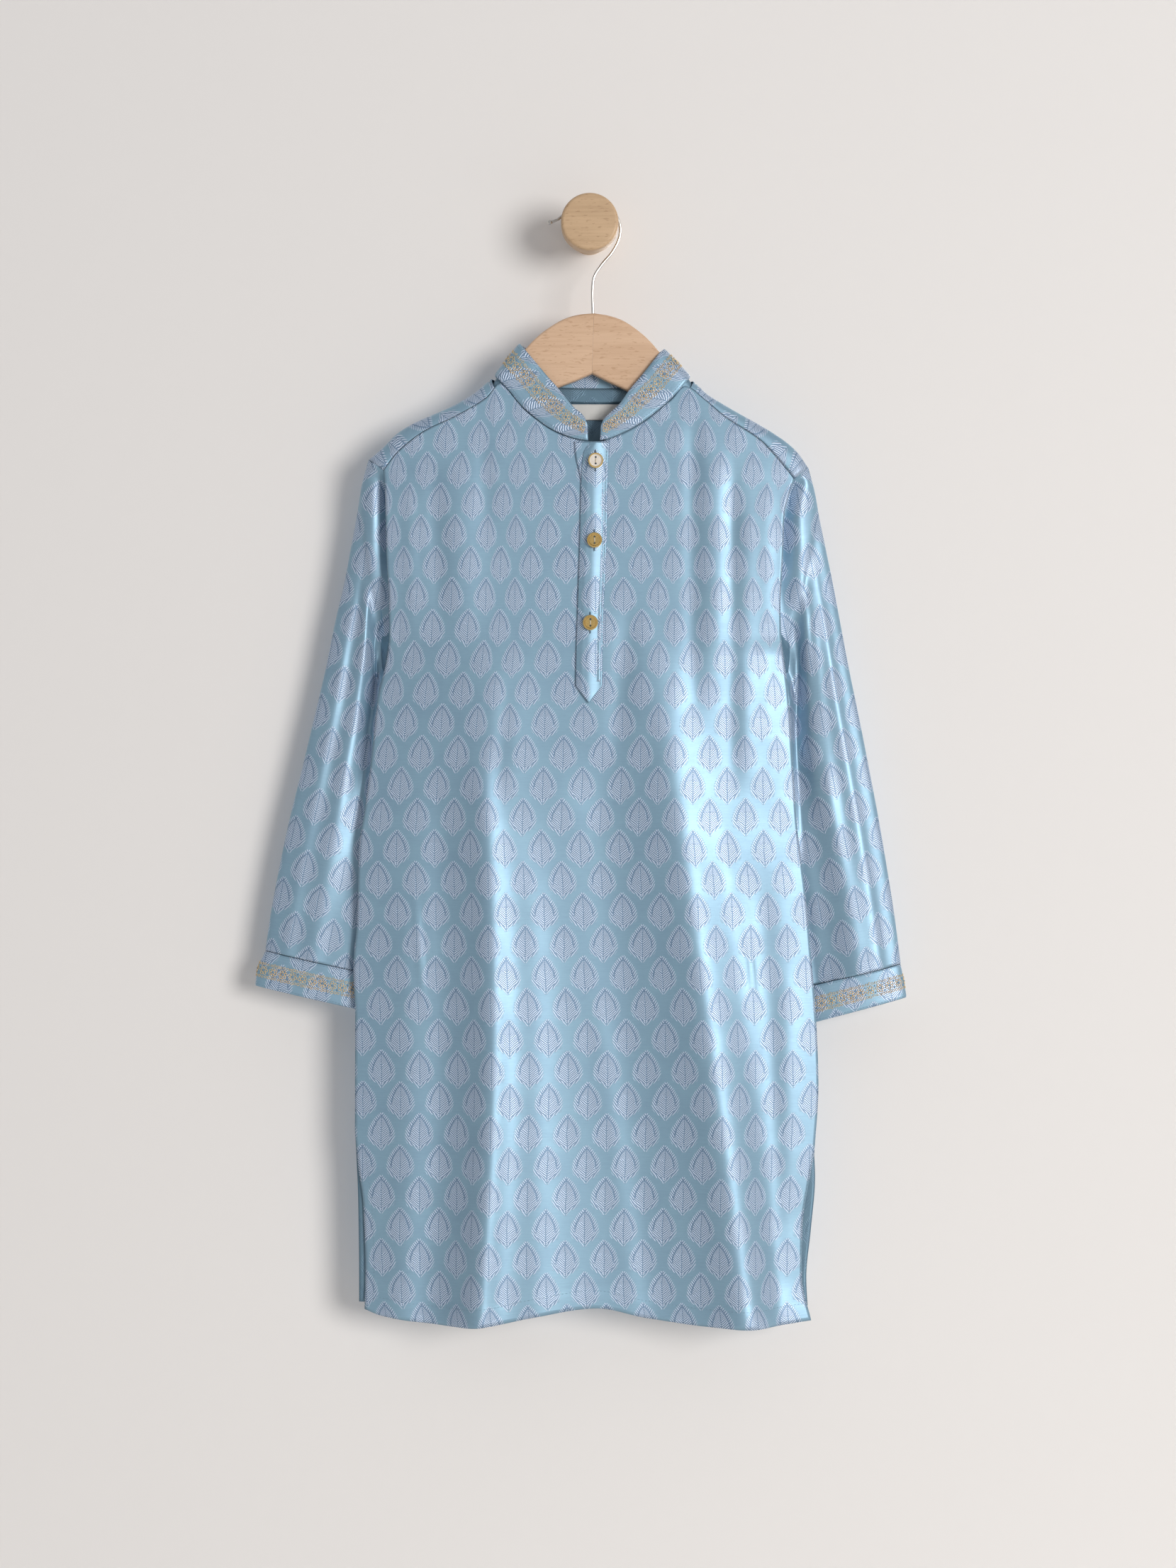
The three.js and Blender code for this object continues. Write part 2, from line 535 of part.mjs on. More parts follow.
// A wall between two grids of the same size: its two faces and the rim that joins them.
function wallSolid(outer, inner, closed = false) {
  const rows = outer.length;
  const columns = outer[0].length;
  const points = [...outer.flat(), ...inner.flat()];
  const top = (r, c) => r * columns + c;
  const low = (r, c) => rows * columns + r * columns + c;
  const faces = gridFaces(rows, columns, top, closed);
  faces.push(...turned(gridFaces(rows, columns, low, closed)));
  const rim = (a, b) => {
    faces.push(low(...a), low(...b), top(...b));
    faces.push(low(...a), top(...b), top(...a));
  };
  const spans = closed ? columns : columns - 1;
  for (let c = 0; c < spans; c += 1) {
    const next = (c + 1) % columns;
    rim([0, c], [0, next]);
    rim([rows - 1, next], [rows - 1, c]);
  }
  if (!closed) {
    for (let r = 0; r < rows - 1; r += 1) {
      rim([r + 1, 0], [r, 0]);
      rim([r, columns - 1], [r + 1, columns - 1]);
    }
  }
  return geometryOf(points, faces);
}

// The grid moved along its own normals by a distance. The normal at a point is the cross
// product of the directions along its row and down its column.
function moved(grid, distance) {
  const rows = grid.length;
  const columns = grid[0].length;
  return grid.map((row, r) => row.map((point, c) => {
    const alongRow = new THREE.Vector3().subVectors(
      row[Math.min(c + 1, columns - 1)], row[Math.max(c - 1, 0)]);
    const downColumn = new THREE.Vector3().subVectors(
      grid[Math.min(r + 1, rows - 1)][c], grid[Math.max(r - 1, 0)][c]);
    const normal = new THREE.Vector3().crossVectors(downColumn, alongRow).normalize();
    return point.clone().addScaledVector(normal, distance);
  }));
}

const clothWall = (outer, thick) => wallSolid(outer, moved(outer, -thick));

// Boolean work

function solidOf(geometry) {
  const bare = geometry.index ? geometry.toNonIndexed() : geometry.clone();
  for (const name of Object.keys(bare.attributes)) {
    if (name !== 'position') bare.deleteAttribute(name);
  }
  const merged = mergeVertices(bare, 1e-3);
  return new wasm.Manifold(new wasm.Mesh({
    numProp: 3,
    vertProperties: merged.attributes.position.array,
    triVerts: new Uint32Array(merged.index.array),
  }));
}

function geometryFrom(solid) {
  const mesh = solid.getMesh();
  const geometry = new THREE.BufferGeometry();
  const numbers = new Float32Array(mesh.vertProperties);
  geometry.setAttribute('position', new THREE.BufferAttribute(numbers, 3));
  geometry.setIndex(new THREE.BufferAttribute(new Uint32Array(mesh.triVerts), 1));
  geometry.computeVertexNormals();
  return geometry;
}

function cut(geometry, ...tools) {
  let solid = solidOf(geometry);
  for (const tool of tools) solid = solid.subtract(solidOf(tool));
  return geometryFrom(solid);
}

const joined = (a, b) => geometryFrom(solidOf(a).add(solidOf(b)));

// Body panels

// Evenly spaced values over several stretches, without repeating the stops.
function spread(stops, counts) {
  const values = [stops[0]];
  counts.forEach((count, i) => {
    for (let j = 1; j <= count; j += 1) values.push(mix(stops[i], stops[i + 1], j / count));
  });
  return values;
}

// x at a share of the panel's width, which stays level above the shoulder seam's end.
function widthAt(z, face, share) {
  const left = leftEdge(Math.min(z, LEFT_EDGE[SEAM_END].z), face);
  const right = rightEdge(Math.min(z, RIGHT_EDGE[SEAM_END].z), face);
  return mix(left, right, share);
}

function frontPanel() {
  const first = FRONT_TOP[0].x;
  const last = FRONT_TOP.at(-1).x;
  const stops = [first, NECK_LEFT, COLLAR_END_LEFT, COLLAR_END_RIGHT, NECK_RIGHT, last];
  const columns = spread(stops, [7, 6, 1, 6, 7]).map((xTop) => ({
    zTop: read(FRONT_TOP, 'x', 'z', xTop) - SEAM_GAP,
    share: (xTop - first) / (last - first),
  }));
  const grid = [];
  for (let r = 0; r <= FRONT_ROWS; r += 1) {
    const down = (r / FRONT_ROWS) ** ROW_GROWTH;
    grid.push(columns.map(({ zTop, share }) => {
      const hemX = mix(FRONT_HEM[0].x, FRONT_HEM.at(-1).x, share);
      const z = mix(zTop, read(FRONT_HEM, 'x', 'z', hemX), down);
      const x = widthAt(z, 'front', share);
      return at(x, frontDepth(x, z), z);
    }));
  }
  const { x, top, bottom, wide, deep } = OPENING_CUT;
  const slot = new THREE.BoxGeometry(wide, deep, top - bottom);
  slot.translate(x, -MID_DEPTH - deep / 2, (top + bottom) / 2);
  return cut(clothWall(grid, CLOTH), slot);
}

// The columns of the yoke and the back. A shoulder column starts at the forward seam (turn 0),
// a neck column behind the neck (turn 1), and those at the side of the neck in between.
function backColumns() {
  const shoulder = (edge, top) =>
    spread([edge[SEAM_END].x, top.shoulder], [7]).map((x) => ({ x, turn: 0 }));
  const turning = (top) => NECK_TURNS.map((turn, i) => ({
    x: mix(top.turnOut, top.turnIn, i / (NECK_TURNS.length - 1)),
    turn,
  }));
  const neck = spread([BACK_TOP_LEFT.neck, BACK_TOP_RIGHT.neck], [9]).map((x) => ({ x, turn: 1 }));
  const columns = [
    ...shoulder(LEFT_EDGE, BACK_TOP_LEFT),
    ...turning(BACK_TOP_LEFT),
    ...neck,
    ...turning(BACK_TOP_RIGHT).reverse(),
    ...shoulder(RIGHT_EDGE, BACK_TOP_RIGHT).reverse(),
  ];
  return columns.map((column, i) => ({ ...column, share: i / (columns.length - 1) }));
}

// A point on the yoke's path over the shoulder, turn 0 at the forward seam, 0.5 on top
// and 1 at the back.
function shoulderPoint(xSeam, turn) {
  const angle = Math.PI * turn;
  const lift = Math.sin(angle);
  const seamLeft = LEFT_EDGE[SEAM_END].x;
  const along = (xSeam - seamLeft) / (RIGHT_EDGE[SEAM_END].x - seamLeft);
  const topX = mix(SHOULDER_TOP[0].x, SHOULDER_TOP.at(-1).x, along);
  const seamZ = read(FRONT_TOP, 'x', 'z', xSeam) + SEAM_GAP;
  const topZ = read(SHOULDER_TOP, 'x', 'z', topX);
  const behind = mix(SHOULDER_HALF, MID_DEPTH - backDepth(xSeam, seamZ), smooth(turn));
  return at(mix(xSeam, topX, lift), MID_DEPTH + behind * Math.cos(angle), mix(seamZ, topZ, lift));
}

// Where a column of the yoke comes down behind the shoulder or starts at the neck seam.
const behindTop = ({ x, turn }) =>
  (turn < 1 ? shoulderPoint(x, 1).z : read(BACK_NECK, 'x', 'z', x) - SEAM_GAP);

// A point of the yoke or back below the shoulder. The width settles to the body's own.
function backPoint(column, z) {
  const { x: xTop, share } = column;
  const shift = xTop - mix(LEFT_EDGE[SEAM_END].x, RIGHT_EDGE[SEAM_END].x, share);
  const settled = smooth((behindTop(column) - z) / SHOULDER_BLEND);
  const x = widthAt(z, 'back', share) + shift * (1 - settled);
  return at(x, backDepth(x, z), z);
}

// The grids of the yoke and the back are their outer faces, which look at the wall, so their
// cloth lies on the wearer's side.
const behindWall = (grid) => wallSolid(grid, moved(grid, CLOTH));

function yoke() {
  const grid = [];
  for (let r = 0; r <= WRAP_ROWS + YOKE_ROWS; r += 1) {
    const run = WRAP_LENGTH * Math.min(r / WRAP_ROWS, 1);
    const down = clamp((r - WRAP_ROWS) / YOKE_ROWS, 0, 1);
    grid.push(backColumns().map((column) => {
      const archLeft = (1 - column.turn) * ARCH_LENGTH;
      if (run < archLeft) return shoulderPoint(column.x, column.turn + run / ARCH_LENGTH);
      const zWrapped = behindTop(column) - (run - archLeft);
      return backPoint(column, mix(zWrapped, YOKE_SEAM_Z, down));
    }));
  }
  return behindWall(grid);
}

function backPanel() {
  const grid = [];
  for (let r = 0; r <= BACK_ROWS; r += 1) {
    const down = (r / BACK_ROWS) ** ROW_GROWTH;
    grid.push(backColumns().map((column) => {
      const hemX = mix(BACK_HEM[0].x, BACK_HEM.at(-1).x, column.share);
      const hemZ = read(BACK_HEM, 'x', 'z', hemX);
      return backPoint(column, mix(YOKE_SEAM_Z - SEAM_GAP, hemZ, down));
    }));
  }
  return behindWall(grid);
}

// Sleeves and cuffs

// A flattened ring: points [along, out], along from the outer fold and out from the middle.
function sleeveRing(length, front, back) {
  const ring = [];
  for (let i = 0; i < SLEEVE_AROUND; i += 1) {
    const angle = (2 * Math.PI * i) / SLEEVE_AROUND;
    const along = (length * (1 - Math.cos(angle))) / 2;
    const swell = Math.abs(Math.sin(angle)) ** SLEEVE_ROUND;
    ring.push([along, angle < Math.PI ? front * swell : -back * swell]);
  }
  return ring;
}

// The ring moved inwards by the cloth's thickness.
function inset(ring, thick) {
  const count = ring.length;
  return ring.map(([a, b], i) => {
    const [beforeA, beforeB] = ring[(i + count - 1) % count];
    const [afterA, afterB] = ring[(i + 1) % count];
    const side = new THREE.Vector2(afterA - beforeA, afterB - beforeB).normalize();
    return [a + side.y * thick, b - side.x * thick];
  });
}

// The armhole's own ring, just outside the body's edge.
function armholeRing(rows, side, thick) {
  const top = rows[0].z;
  const length = top - UNDERARM_Z + UNDERARM_TUCK;
  const outline = [];
  for (let i = 0; i < SLEEVE_AROUND; i += 1) {
    const angle = (2 * Math.PI * i) / SLEEVE_AROUND;
    const along = (length * (1 - Math.cos(angle))) / 2;
    const half = 2 * i === SLEEVE_AROUND ? 0 : read(rows, 'z', 'half', top - along);
    outline.push([along, angle < Math.PI ? half : -half]);
  }
  const ring = thick ? inset(outline, thick) : outline;
  return ring.map(([along, out]) => {
    const z = top - along;
    const x = read(rows, 'z', 'x', z) + side * ARMHOLE_GAP;
    return at(x, MID_DEPTH + out, z);
  });
}

function sectionRing(row, thick) {
  const mid = (row.front + row.back) / 2;
  const outer = new THREE.Vector2(row.xOut, row.zOut);
  const inner = new THREE.Vector2(row.xIn, row.zIn);
  const length = outer.distanceTo(inner);
  const ring = sleeveRing(length, row.front - mid, mid - row.back);
  return (thick ? inset(ring, thick) : ring).map(([along, out]) => {
    const p = outer.clone().lerp(inner, along / length);
    return at(p.x, mid + out, p.y);
  });
}

// The head of a sleeve, from the armhole down.
function sleeveHead(edge, side, rows) {
  const rings = (thick) => [
    armholeRing(edge, side, thick),
    ...rows.slice(0, SLEEVE_HEAD_ROW + 1).map((row) => sectionRing(row, thick)),
  ];
  return wallSolid(rings(0), rings(CLOTH), true);
}

// A tube of cloth that starts a seam's gap below its first row.
function sleeveTube(rows) {
  const [seam, ...rest] = rows;
  const start = { ...seam, zOut: seam.zOut - SEAM_GAP, zIn: seam.zIn - SEAM_GAP };
  const rings = (thick) => [start, ...rest].map((row) => sectionRing(row, thick));
  return wallSolid(rings(0), rings(CLOTH), true);
}

// Collar

function collar() {
  const grid = [];
  for (let band = 0; band <= COLLAR_BANDS; band += 1) {
    const up = band / COLLAR_BANDS;
    grid.push(COLLAR.map((row) => at(
      mix(row.x, row.xUp, up), row.depth, mix(row.z, row.zUp, up))));
  }
  return wallSolid(grid, moved(grid, COLLAR_CLOTH));
}

// Strips, label and pocket bags that lie on a panel

// A strip on the front panel, its inner face "above" the cloth. The end drops to a point of
// length "pointed" in the middle, and the rows above it follow.
function frontStrip(rows, steps, above, pointed = 0) {
  const grid = [];
  for (let r = 0; r <= steps; r += 1) {
    const level = mix(rows[0].z, rows.at(-1).z, r / steps);
    const drop = pointed * (r / steps);
    grid.push(STRIP_SHARES.map((share) => {
      const x = mix(read(rows, 'z', 'left', level), read(rows, 'z', 'right', level), share);
      const z = level - drop * (1 - Math.abs(2 * share - 1));
      return at(x, frontDepth(x, z) + above + STRIP_CLOTH, z);
    }));
  }
  return clothWall(grid, STRIP_CLOTH);
}

function neckLabel() {
  const grid = [];
  for (const z of [LABEL.top, LABEL.bottom]) {
    grid.push(GRID_SHARES.map((share) => {
      const x = mix(LABEL.left, LABEL.right, share);
      return at(x, backDepth(x, z) + CLOTH + SEAM_GAP + LABEL.thick, z);
    }));
  }
  return clothWall(grid, LABEL.thick);
}

function pocketBag({ seamX, foldX, top, bottom }) {
  const grid = [];
  for (const down of GRID_SHARES) {
    const z = mix(top, bottom, down);
    grid.push(GRID_SHARES.map((share) => {
      const x = mix(Math.min(seamX, foldX), Math.max(seamX, foldX), share);
      return at(x, frontDepth(x, z) - POCKET_BEHIND, z);
    }));
  }
  return clothWall(grid, POCKET_THICK);
}

// Buttons

function button() {
  const half = BUTTON_THICK / 2;
  const profile = [
    [0, -half],
    [BUTTON_RADIUS - BUTTON_EDGE, -half],
    [BUTTON_RADIUS, -half + BUTTON_EDGE],
    [BUTTON_RADIUS, half - BUTTON_EDGE],
    [BUTTON_RADIUS - BUTTON_EDGE, half],
    [BUTTON_RADIUS - BUTTON_RIM, half],
    [BUTTON_RADIUS - BUTTON_RIM - BUTTON_DISH, half - BUTTON_DISH],
    [0, half - BUTTON_DISH],
  ].map(([r, y]) => new THREE.Vector2(r, y));
  const disc = new THREE.LatheGeometry(profile, 24);
  const holes = [-1, 1].map((side) => {
    const r = BUTTON_HOLE_RADIUS;
    const hole = new THREE.CylinderGeometry(r, r, 2 * BUTTON_THICK, 10);
    return hole.translate(0, 0, (side * BUTTON_HOLE_SPACING) / 2);
  });
  return cut(disc, ...holes);
}

// Hanger

// One half of the hanger, to the left (side -1) or right (side 1) of the centre joint.
function hangerHalf(side) {
  const edge = (column) => {
    const points = HANGER_ARM.map((row) =>
      new THREE.Vector2(side * (row.out + SEAM_GAP / 2), row[column]));
    return new THREE.SplineCurve(points).getPoints(HANGER_STEPS);
  };
  const tip = HANGER_ARM.at(-1);
  const nose = new THREE.Vector2(side * (tip.out + HANGER_NOSE), (tip.top + tip.bottom) / 2);
  const outline = new THREE.Shape([...edge('top'), nose, ...edge('bottom').reverse()]);
  const geometry = new THREE.ExtrudeGeometry(outline, {
    depth: HANGER_THICK - 2 * HANGER_ROUND,
    bevelThickness: HANGER_ROUND,
    bevelSize: HANGER_ROUND,
    bevelOffset: -HANGER_ROUND,
    bevelSegments: 2,
    curveSegments: 4,
  });
  geometry.translate(0, 0, -HANGER_THICK / 2 + HANGER_ROUND);
  geometry.rotateX(Math.PI / 2);
  geometry.rotateY(-HANGER_TILT);
  geometry.translate(HANGER_CENTRE_X, -MID_DEPTH, HANGER_TOP_Z);
  const socket = new THREE.CylinderGeometry(
    HOOK_RADIUS + SEAM_GAP, HOOK_RADIUS + SEAM_GAP, 2 * HOOK_SOCKET_DEPTH, 12);
  socket.rotateX(Math.PI / 2);
  socket.translate(HOOK_ROUTE[0][0], -MID_DEPTH, HANGER_TOP_Z);
  return cut(geometry, socket);
}

function hook() {
  const route = new THREE.CatmullRomCurve3(
    HOOK_ROUTE.map(([x, z]) => at(x, MID_DEPTH, z)), false, 'centripetal');
  const section = new THREE.Shape();
  section.absarc(0, 0, HOOK_RADIUS, 0, 2 * Math.PI);
  const wire = new THREE.ExtrudeGeometry(section, {
    extrudePath: route,
    steps: HOOK_STEPS,
    curveSegments: HOOK_SIDES,
  });
  const ball = new THREE.SphereGeometry(HOOK_BALL_RADIUS, 12, 8);
  const [endX, endZ] = HOOK_ROUTE.at(-1);
  ball.translate(endX, -MID_DEPTH, endZ);
  return joined(wire, ball);
}

// Peg

function wallPeg() {
  const profile = [
    [0, 0],
    [PEG_STEM_RADIUS, 0],
    [PEG_STEM_RADIUS, PEG_STEM_LENGTH - PEG_FILLET],
    [PEG_STEM_RADIUS + PEG_FILLET, PEG_STEM_LENGTH],
    [PEG_KNOB_RADIUS - PEG_FILLET, PEG_STEM_LENGTH],
    [PEG_KNOB_RADIUS, PEG_STEM_LENGTH + PEG_FILLET],
    [PEG_KNOB_RADIUS, PEG_LENGTH - PEG_ROUND],
    [PEG_KNOB_RADIUS - PEG_ROUND * ROUND_MIDDLE, PEG_LENGTH - PEG_ROUND * ROUND_MIDDLE],
    [PEG_KNOB_RADIUS - PEG_ROUND, PEG_LENGTH],
    [0, PEG_LENGTH],
  ].map(([r, y]) => new THREE.Vector2(r, y));
  const geometry = new THREE.LatheGeometry(profile, 40);
  return geometry.rotateX(Math.PI);
}

// Assembly

const kurta = new THREE.Group();

function add(name, geometry, colour, roughness = 0.6, metalness = 0) {
  const material = new THREE.MeshStandardMaterial({ color: colour, roughness, metalness });
  const mesh = new THREE.Mesh(geometry, material);
  mesh.name = name;
  kurta.add(mesh);
  return mesh;
}

add('front', frontPanel(), COLOURS.satin);
add('yoke', yoke(), COLOURS.satin);
add('back', backPanel(), COLOURS.satin);
add('sleeve_head_left', sleeveHead(LEFT_EDGE, -1, LEFT_SLEEVE), COLOURS.satin);
add('sleeve_head_right', sleeveHead(RIGHT_EDGE, 1, RIGHT_SLEEVE), COLOURS.satin);
add('sleeve_left', sleeveTube(LEFT_SLEEVE.slice(SLEEVE_HEAD_ROW)), COLOURS.satin);
add('sleeve_right', sleeveTube(RIGHT_SLEEVE.slice(SLEEVE_HEAD_ROW)), COLOURS.satin);
add('cuff_left', sleeveTube(LEFT_CUFF), COLOURS.collar);
add('cuff_right', sleeveTube(RIGHT_CUFF), COLOURS.collar);
add('collar', collar(), COLOURS.collar);
add('underlap', frontStrip(UNDERLAP, UNDERLAP_ROWS, SEAM_GAP), COLOURS.satin);
const overUnderlap = STRIP_CLOTH + 2 * SEAM_GAP;
const placket = frontStrip(PLACKET, PLACKET_ROWS, overUnderlap, PLACKET_POINT);
add('placket', placket, COLOURS.satinLight);
add('neck_label', neckLabel(), COLOURS.label, 0.8);
for (const bag of POCKET_BAGS) add(bag.name, pocketBag(bag), COLOURS.satin);

BUTTON_PLACES.forEach(({ x, z }, i) => {
  const mesh = add(`button_${i + 1}`, button(), COLOURS.button, 0.3, 0.8);
  const seat = overUnderlap + STRIP_CLOTH + BUTTON_LIFT;
  mesh.position.copy(at(x, frontDepth(x, z) + seat + BUTTON_THICK / 2, z));
  mesh.rotation.x = Math.PI;
});

add('hanger_left', hangerHalf(-1), COLOURS.wood, 0.55);
add('hanger_right', hangerHalf(1), COLOURS.wood, 0.55);
add('hanger_hook', hook(), COLOURS.wire, 0.3, 1);
add('wall_peg', wallPeg(), COLOURS.pegWood, 0.55);

export default kurta;
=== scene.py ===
# A child's kurta of figured satin on a wooden hanger, hung over a turned wooden wall peg.
# Metres, +Z up. The wall is the plane y = 0 and the viewer stands on the -Y side. The tables
# are in millimetres, as in the part's source. "Depth" is the distance out from the wall, so a
# point's y is minus its depth. Left and right are as the viewer sees them.

import math

import bpy
import numpy as np
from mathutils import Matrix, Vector


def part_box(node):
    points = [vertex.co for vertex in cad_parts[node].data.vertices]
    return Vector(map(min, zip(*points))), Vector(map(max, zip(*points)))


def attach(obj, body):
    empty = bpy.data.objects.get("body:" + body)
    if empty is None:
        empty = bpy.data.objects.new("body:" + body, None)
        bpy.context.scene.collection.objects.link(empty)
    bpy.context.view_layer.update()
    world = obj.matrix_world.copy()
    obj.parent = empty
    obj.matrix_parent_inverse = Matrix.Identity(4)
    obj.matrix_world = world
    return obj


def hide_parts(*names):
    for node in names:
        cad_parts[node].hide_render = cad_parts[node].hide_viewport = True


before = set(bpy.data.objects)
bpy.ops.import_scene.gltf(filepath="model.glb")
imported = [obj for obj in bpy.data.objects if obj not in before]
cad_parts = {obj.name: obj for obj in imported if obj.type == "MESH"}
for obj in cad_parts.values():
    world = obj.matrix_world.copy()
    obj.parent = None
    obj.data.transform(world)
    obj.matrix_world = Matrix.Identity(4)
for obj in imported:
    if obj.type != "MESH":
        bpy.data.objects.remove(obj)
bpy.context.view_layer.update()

MM = 0.001
SEAM_GAP = 0.3
MID_DEPTH = 40.0
SEAM_HALF = 1.35
SHOULDER_HALF = 6.7
UNDERARM_Z = -327.4
UNDERARM_TUCK = 1.6
ARMHOLE_GAP = 0.25
SHOULDER_GAP = 0.15
ARCH_LENGTH = 22.0
YOKE_SEAM_Z = -232.0
SHOULDER_BLEND = 110.0
SLEEVE_ROUND = 0.75
BACK_HOLLOW = 0.8  # share of the half width where the back begins to stand out
BACK_FULL = 0.42  # share of the half width within which it stands out fully
FOLD_FADE = 60.0
BELOW_HEM = -840.0
SATIN = 0.6
COLLAR_CLOTH = 2.2
STRIP_CLOTH = 1.3
OVER_UNDERLAP = STRIP_CLOTH + 2 * SEAM_GAP


# Tables

def table(names, *rows):
    """Columns by name from rows of numbers."""
    columns = np.array(rows, dtype=float).T
    return dict(zip(names.split(), columns))


LEFT_EDGE = table("z x half",
    (-176.6, -167.0, 0.0), (-180.5, -162.0, 5.5), (-185.4, -155.7, 6.7), (-204.4, -154.2, 8.0),
    (-248.2, -153.2, 8.6), (-287.3, -151.3, 7.6), (-310.0, -151.3, 5.2), (-327.4, -153.4, SEAM_HALF),
    (-357.4, -160.2, SEAM_HALF), (-391.1, -163.8, SEAM_HALF), (-439.2, -169.8, SEAM_HALF),
    (-471.3, -174.6, SEAM_HALF), (-524.8, -176.0, SEAM_HALF), (-560.1, -178.8, SEAM_HALF),
    (-598.7, -177.4, SEAM_HALF), (-685.3, -177.6, SEAM_HALF),
)
RIGHT_EDGE = table("z x half",
    (-182.4, 165.1, 0.0), (-187.0, 160.1, 5.6), (-192.1, 154.6, 6.7), (-206.0, 149.6, 7.6),
    (-220.0, 146.6, 8.2), (-250.0, 145.6, 8.6), (-287.3, 143.8, 7.6), (-310.0, 144.4, 5.2),
    (-327.4, 146.8, SEAM_HALF), (-357.4, 150.4, SEAM_HALF), (-401.3, 153.3, SEAM_HALF),
    (-451.0, 156.6, SEAM_HALF), (-505.0, 163.2, SEAM_HALF), (-554.8, 167.7, SEAM_HALF),
    (-598.7, 171.2, SEAM_HALF), (-650.0, 173.0, SEAM_HALF), (-700.9, 169.9, SEAM_HALF),
)
LEFT_SLIT = table("z front back",
    (-685.3, -177.6, -177.6), (-712.0, -175.0, -176.2), (-740.4, -171.2, -175.2),
    (-791.3, -169.6, -174.6), (-819.0, -170.3, -174.6),
)
RIGHT_SLIT = table("z front back",
    (-700.9, 169.9, 169.9), (-719.6, 166.4, 170.6), (-759.2, 160.8, 167.4), (-795.0, 160.5, 164.0),
    (-827.6, 167.5, 165.6),
)
FRONT_TOP = table("x z",
    (-155.7, -185.4), (-144.5, -171.5), (-124.1, -155.7), (-101.7, -144.9), (-77.6, -130.5),
    (-67.4, -119.6), (-58.9, -128.4), (-51.1, -138.0), (-39.6, -147.7), (-28.9, -155.1),
    (-17.4, -160.2), (-1.3, -163.7), (7.5, -163.7), (23.5, -158.4), (34.2, -153.0), (44.9, -146.1),
    (53.5, -139.1), (62.6, -131.1), (71.6, -121.6), (86.1, -131.6), (101.1, -144.5), (127.3, -161.8),
    (136.4, -170.7), (154.6, -192.1),
)
SHOULDER_TOP = table("x z",
    (-167.0, -176.6), (-155.7, -166.9), (-146.6, -157.6), (-135.4, -150.3), (-101.7, -135.0),
    (-87.2, -126.3), (-70.4, -114.6), (74.0, -115.8), (89.9, -127.9), (104.9, -137.0), (145.5, -161.0),
    (156.8, -170.7), (165.1, -182.4),
)
BACK_NECK = table("x z",
    (-67.0, -118.6), (-45.0, -122.0), (3.0, -124.8), (50.0, -123.0), (72.0, -119.6),
)
FRONT_HEM = table("x z",
    (-170.3, -819.0), (-157.0, -823.6), (-103.0, -829.6), (-72.0, -827.4), (-41.0, -822.2),
    (6.0, -816.6), (46.5, -824.8), (86.0, -829.4), (128.0, -830.6), (167.5, -827.6),
)
BACK_HEM = table("x z",
    (-174.6, -813.7), (-60.0, -819.5), (10.0, -815.5), (90.0, -821.0), (165.6, -818.6),
)
FULLNESS = table("z front back square",
    (-115, 7.0, 7.6, 4.0), (-160, 9.6, 8.4, 4.0), (-220, 10.5, 9.0, 4.0), (-330, 12.5, 10.0, 3.2),
    (-480, 15.0, 11.5, 2.6), (-650, 17.5, 12.5, 2.3), (-830, 19.0, 13.5, 2.2),
)
FRONT_FOLDS = table("x_top z_top x_low z_low bow wide wide_low high high_low",
    (-80, -300, -84, -850, 10, 26, 34, 2.0, 7.5), (46, -300, 124, -850, 0, 26, 34, 2.5, 9.5),
    (-20, -420, 8, -850, 0, 30, 36, -1.0, -6.0), (-100, -165, -96, -330, 0, 15, 17, 1.5, 1.5),
    (92, -150, 96, -360, 0, 13, 15, 1.8, 1.8), (122, -185, 120, -430, 0, 12, 15, 1.8, 1.8),
)
BACK_FOLDS = table("x_top z_top x_low z_low bow wide wide_low high high_low",
    (-58, -230, -74, -850, -6, 26, 34, 2.0, 6.5), (62, -260, 84, -850, 6, 26, 34, 2.0, 6.0),
    (2, -330, 10, -850, 0, 26, 30, -1.5, -4.5),
)
LEFT_SLEEVE = table("x_out z_out x_in z_in front back",
    (-172.8, -194.7, -154.8, -337.0, 40.4, 29.0), (-176.2, -214.0, -155.0, -350.0, 37.2, 25.0),
    (-181.0, -239.1, -154.6, -364.0, 36.4, 21.5), (-186.9, -269.6, -151.4, -380.9, 36.0, 19.0),
    (-193.7, -298.5, -148.4, -398.0, 35.8, 18.0), (-201.2, -335.4, -146.0, -418.4, 35.6, 18.0),
    (-209.7, -371.3, -144.8, -439.8, 35.5, 18.0), (-219.2, -411.4, -145.0, -463.8, 35.5, 18.0),
    (-229.0, -451.0, -147.0, -490.6, 35.5, 18.0), (-237.4, -491.1, -151.0, -520.0, 35.5, 18.0),
    (-243.6, -525.4, -156.2, -549.4, 35.5, 18.0), (-246.8, -548.4, -160.5, -567.6, 35.5, 18.0),
)
RIGHT_SLEEVE = table("x_out z_out x_in z_in front back",
    (170.7, -200.6, 147.6, -337.0, 40.4, 29.0), (174.4, -219.4, 147.8, -351.0, 37.2, 25.0),
    (179.2, -241.8, 148.2, -366.0, 36.4, 21.5), (185.1, -269.6, 145.4, -384.0, 36.0, 19.0),
    (191.0, -300.7, 142.8, -403.4, 35.8, 18.0), (197.6, -335.4, 141.2, -424.8, 35.6, 18.0),
    (204.6, -369.2, 141.0, -447.8, 35.5, 18.0), (212.2, -407.7, 142.2, -471.9, 35.5, 18.0),
    (219.8, -447.8, 145.0, -498.6, 35.5, 18.0), (226.8, -489.0, 149.0, -528.0, 35.5, 18.0),
    (232.8, -528.0, 153.2, -557.5, 35.5, 18.0), (236.7, -558.5, 156.2, -577.8, 35.5, 18.0),
)
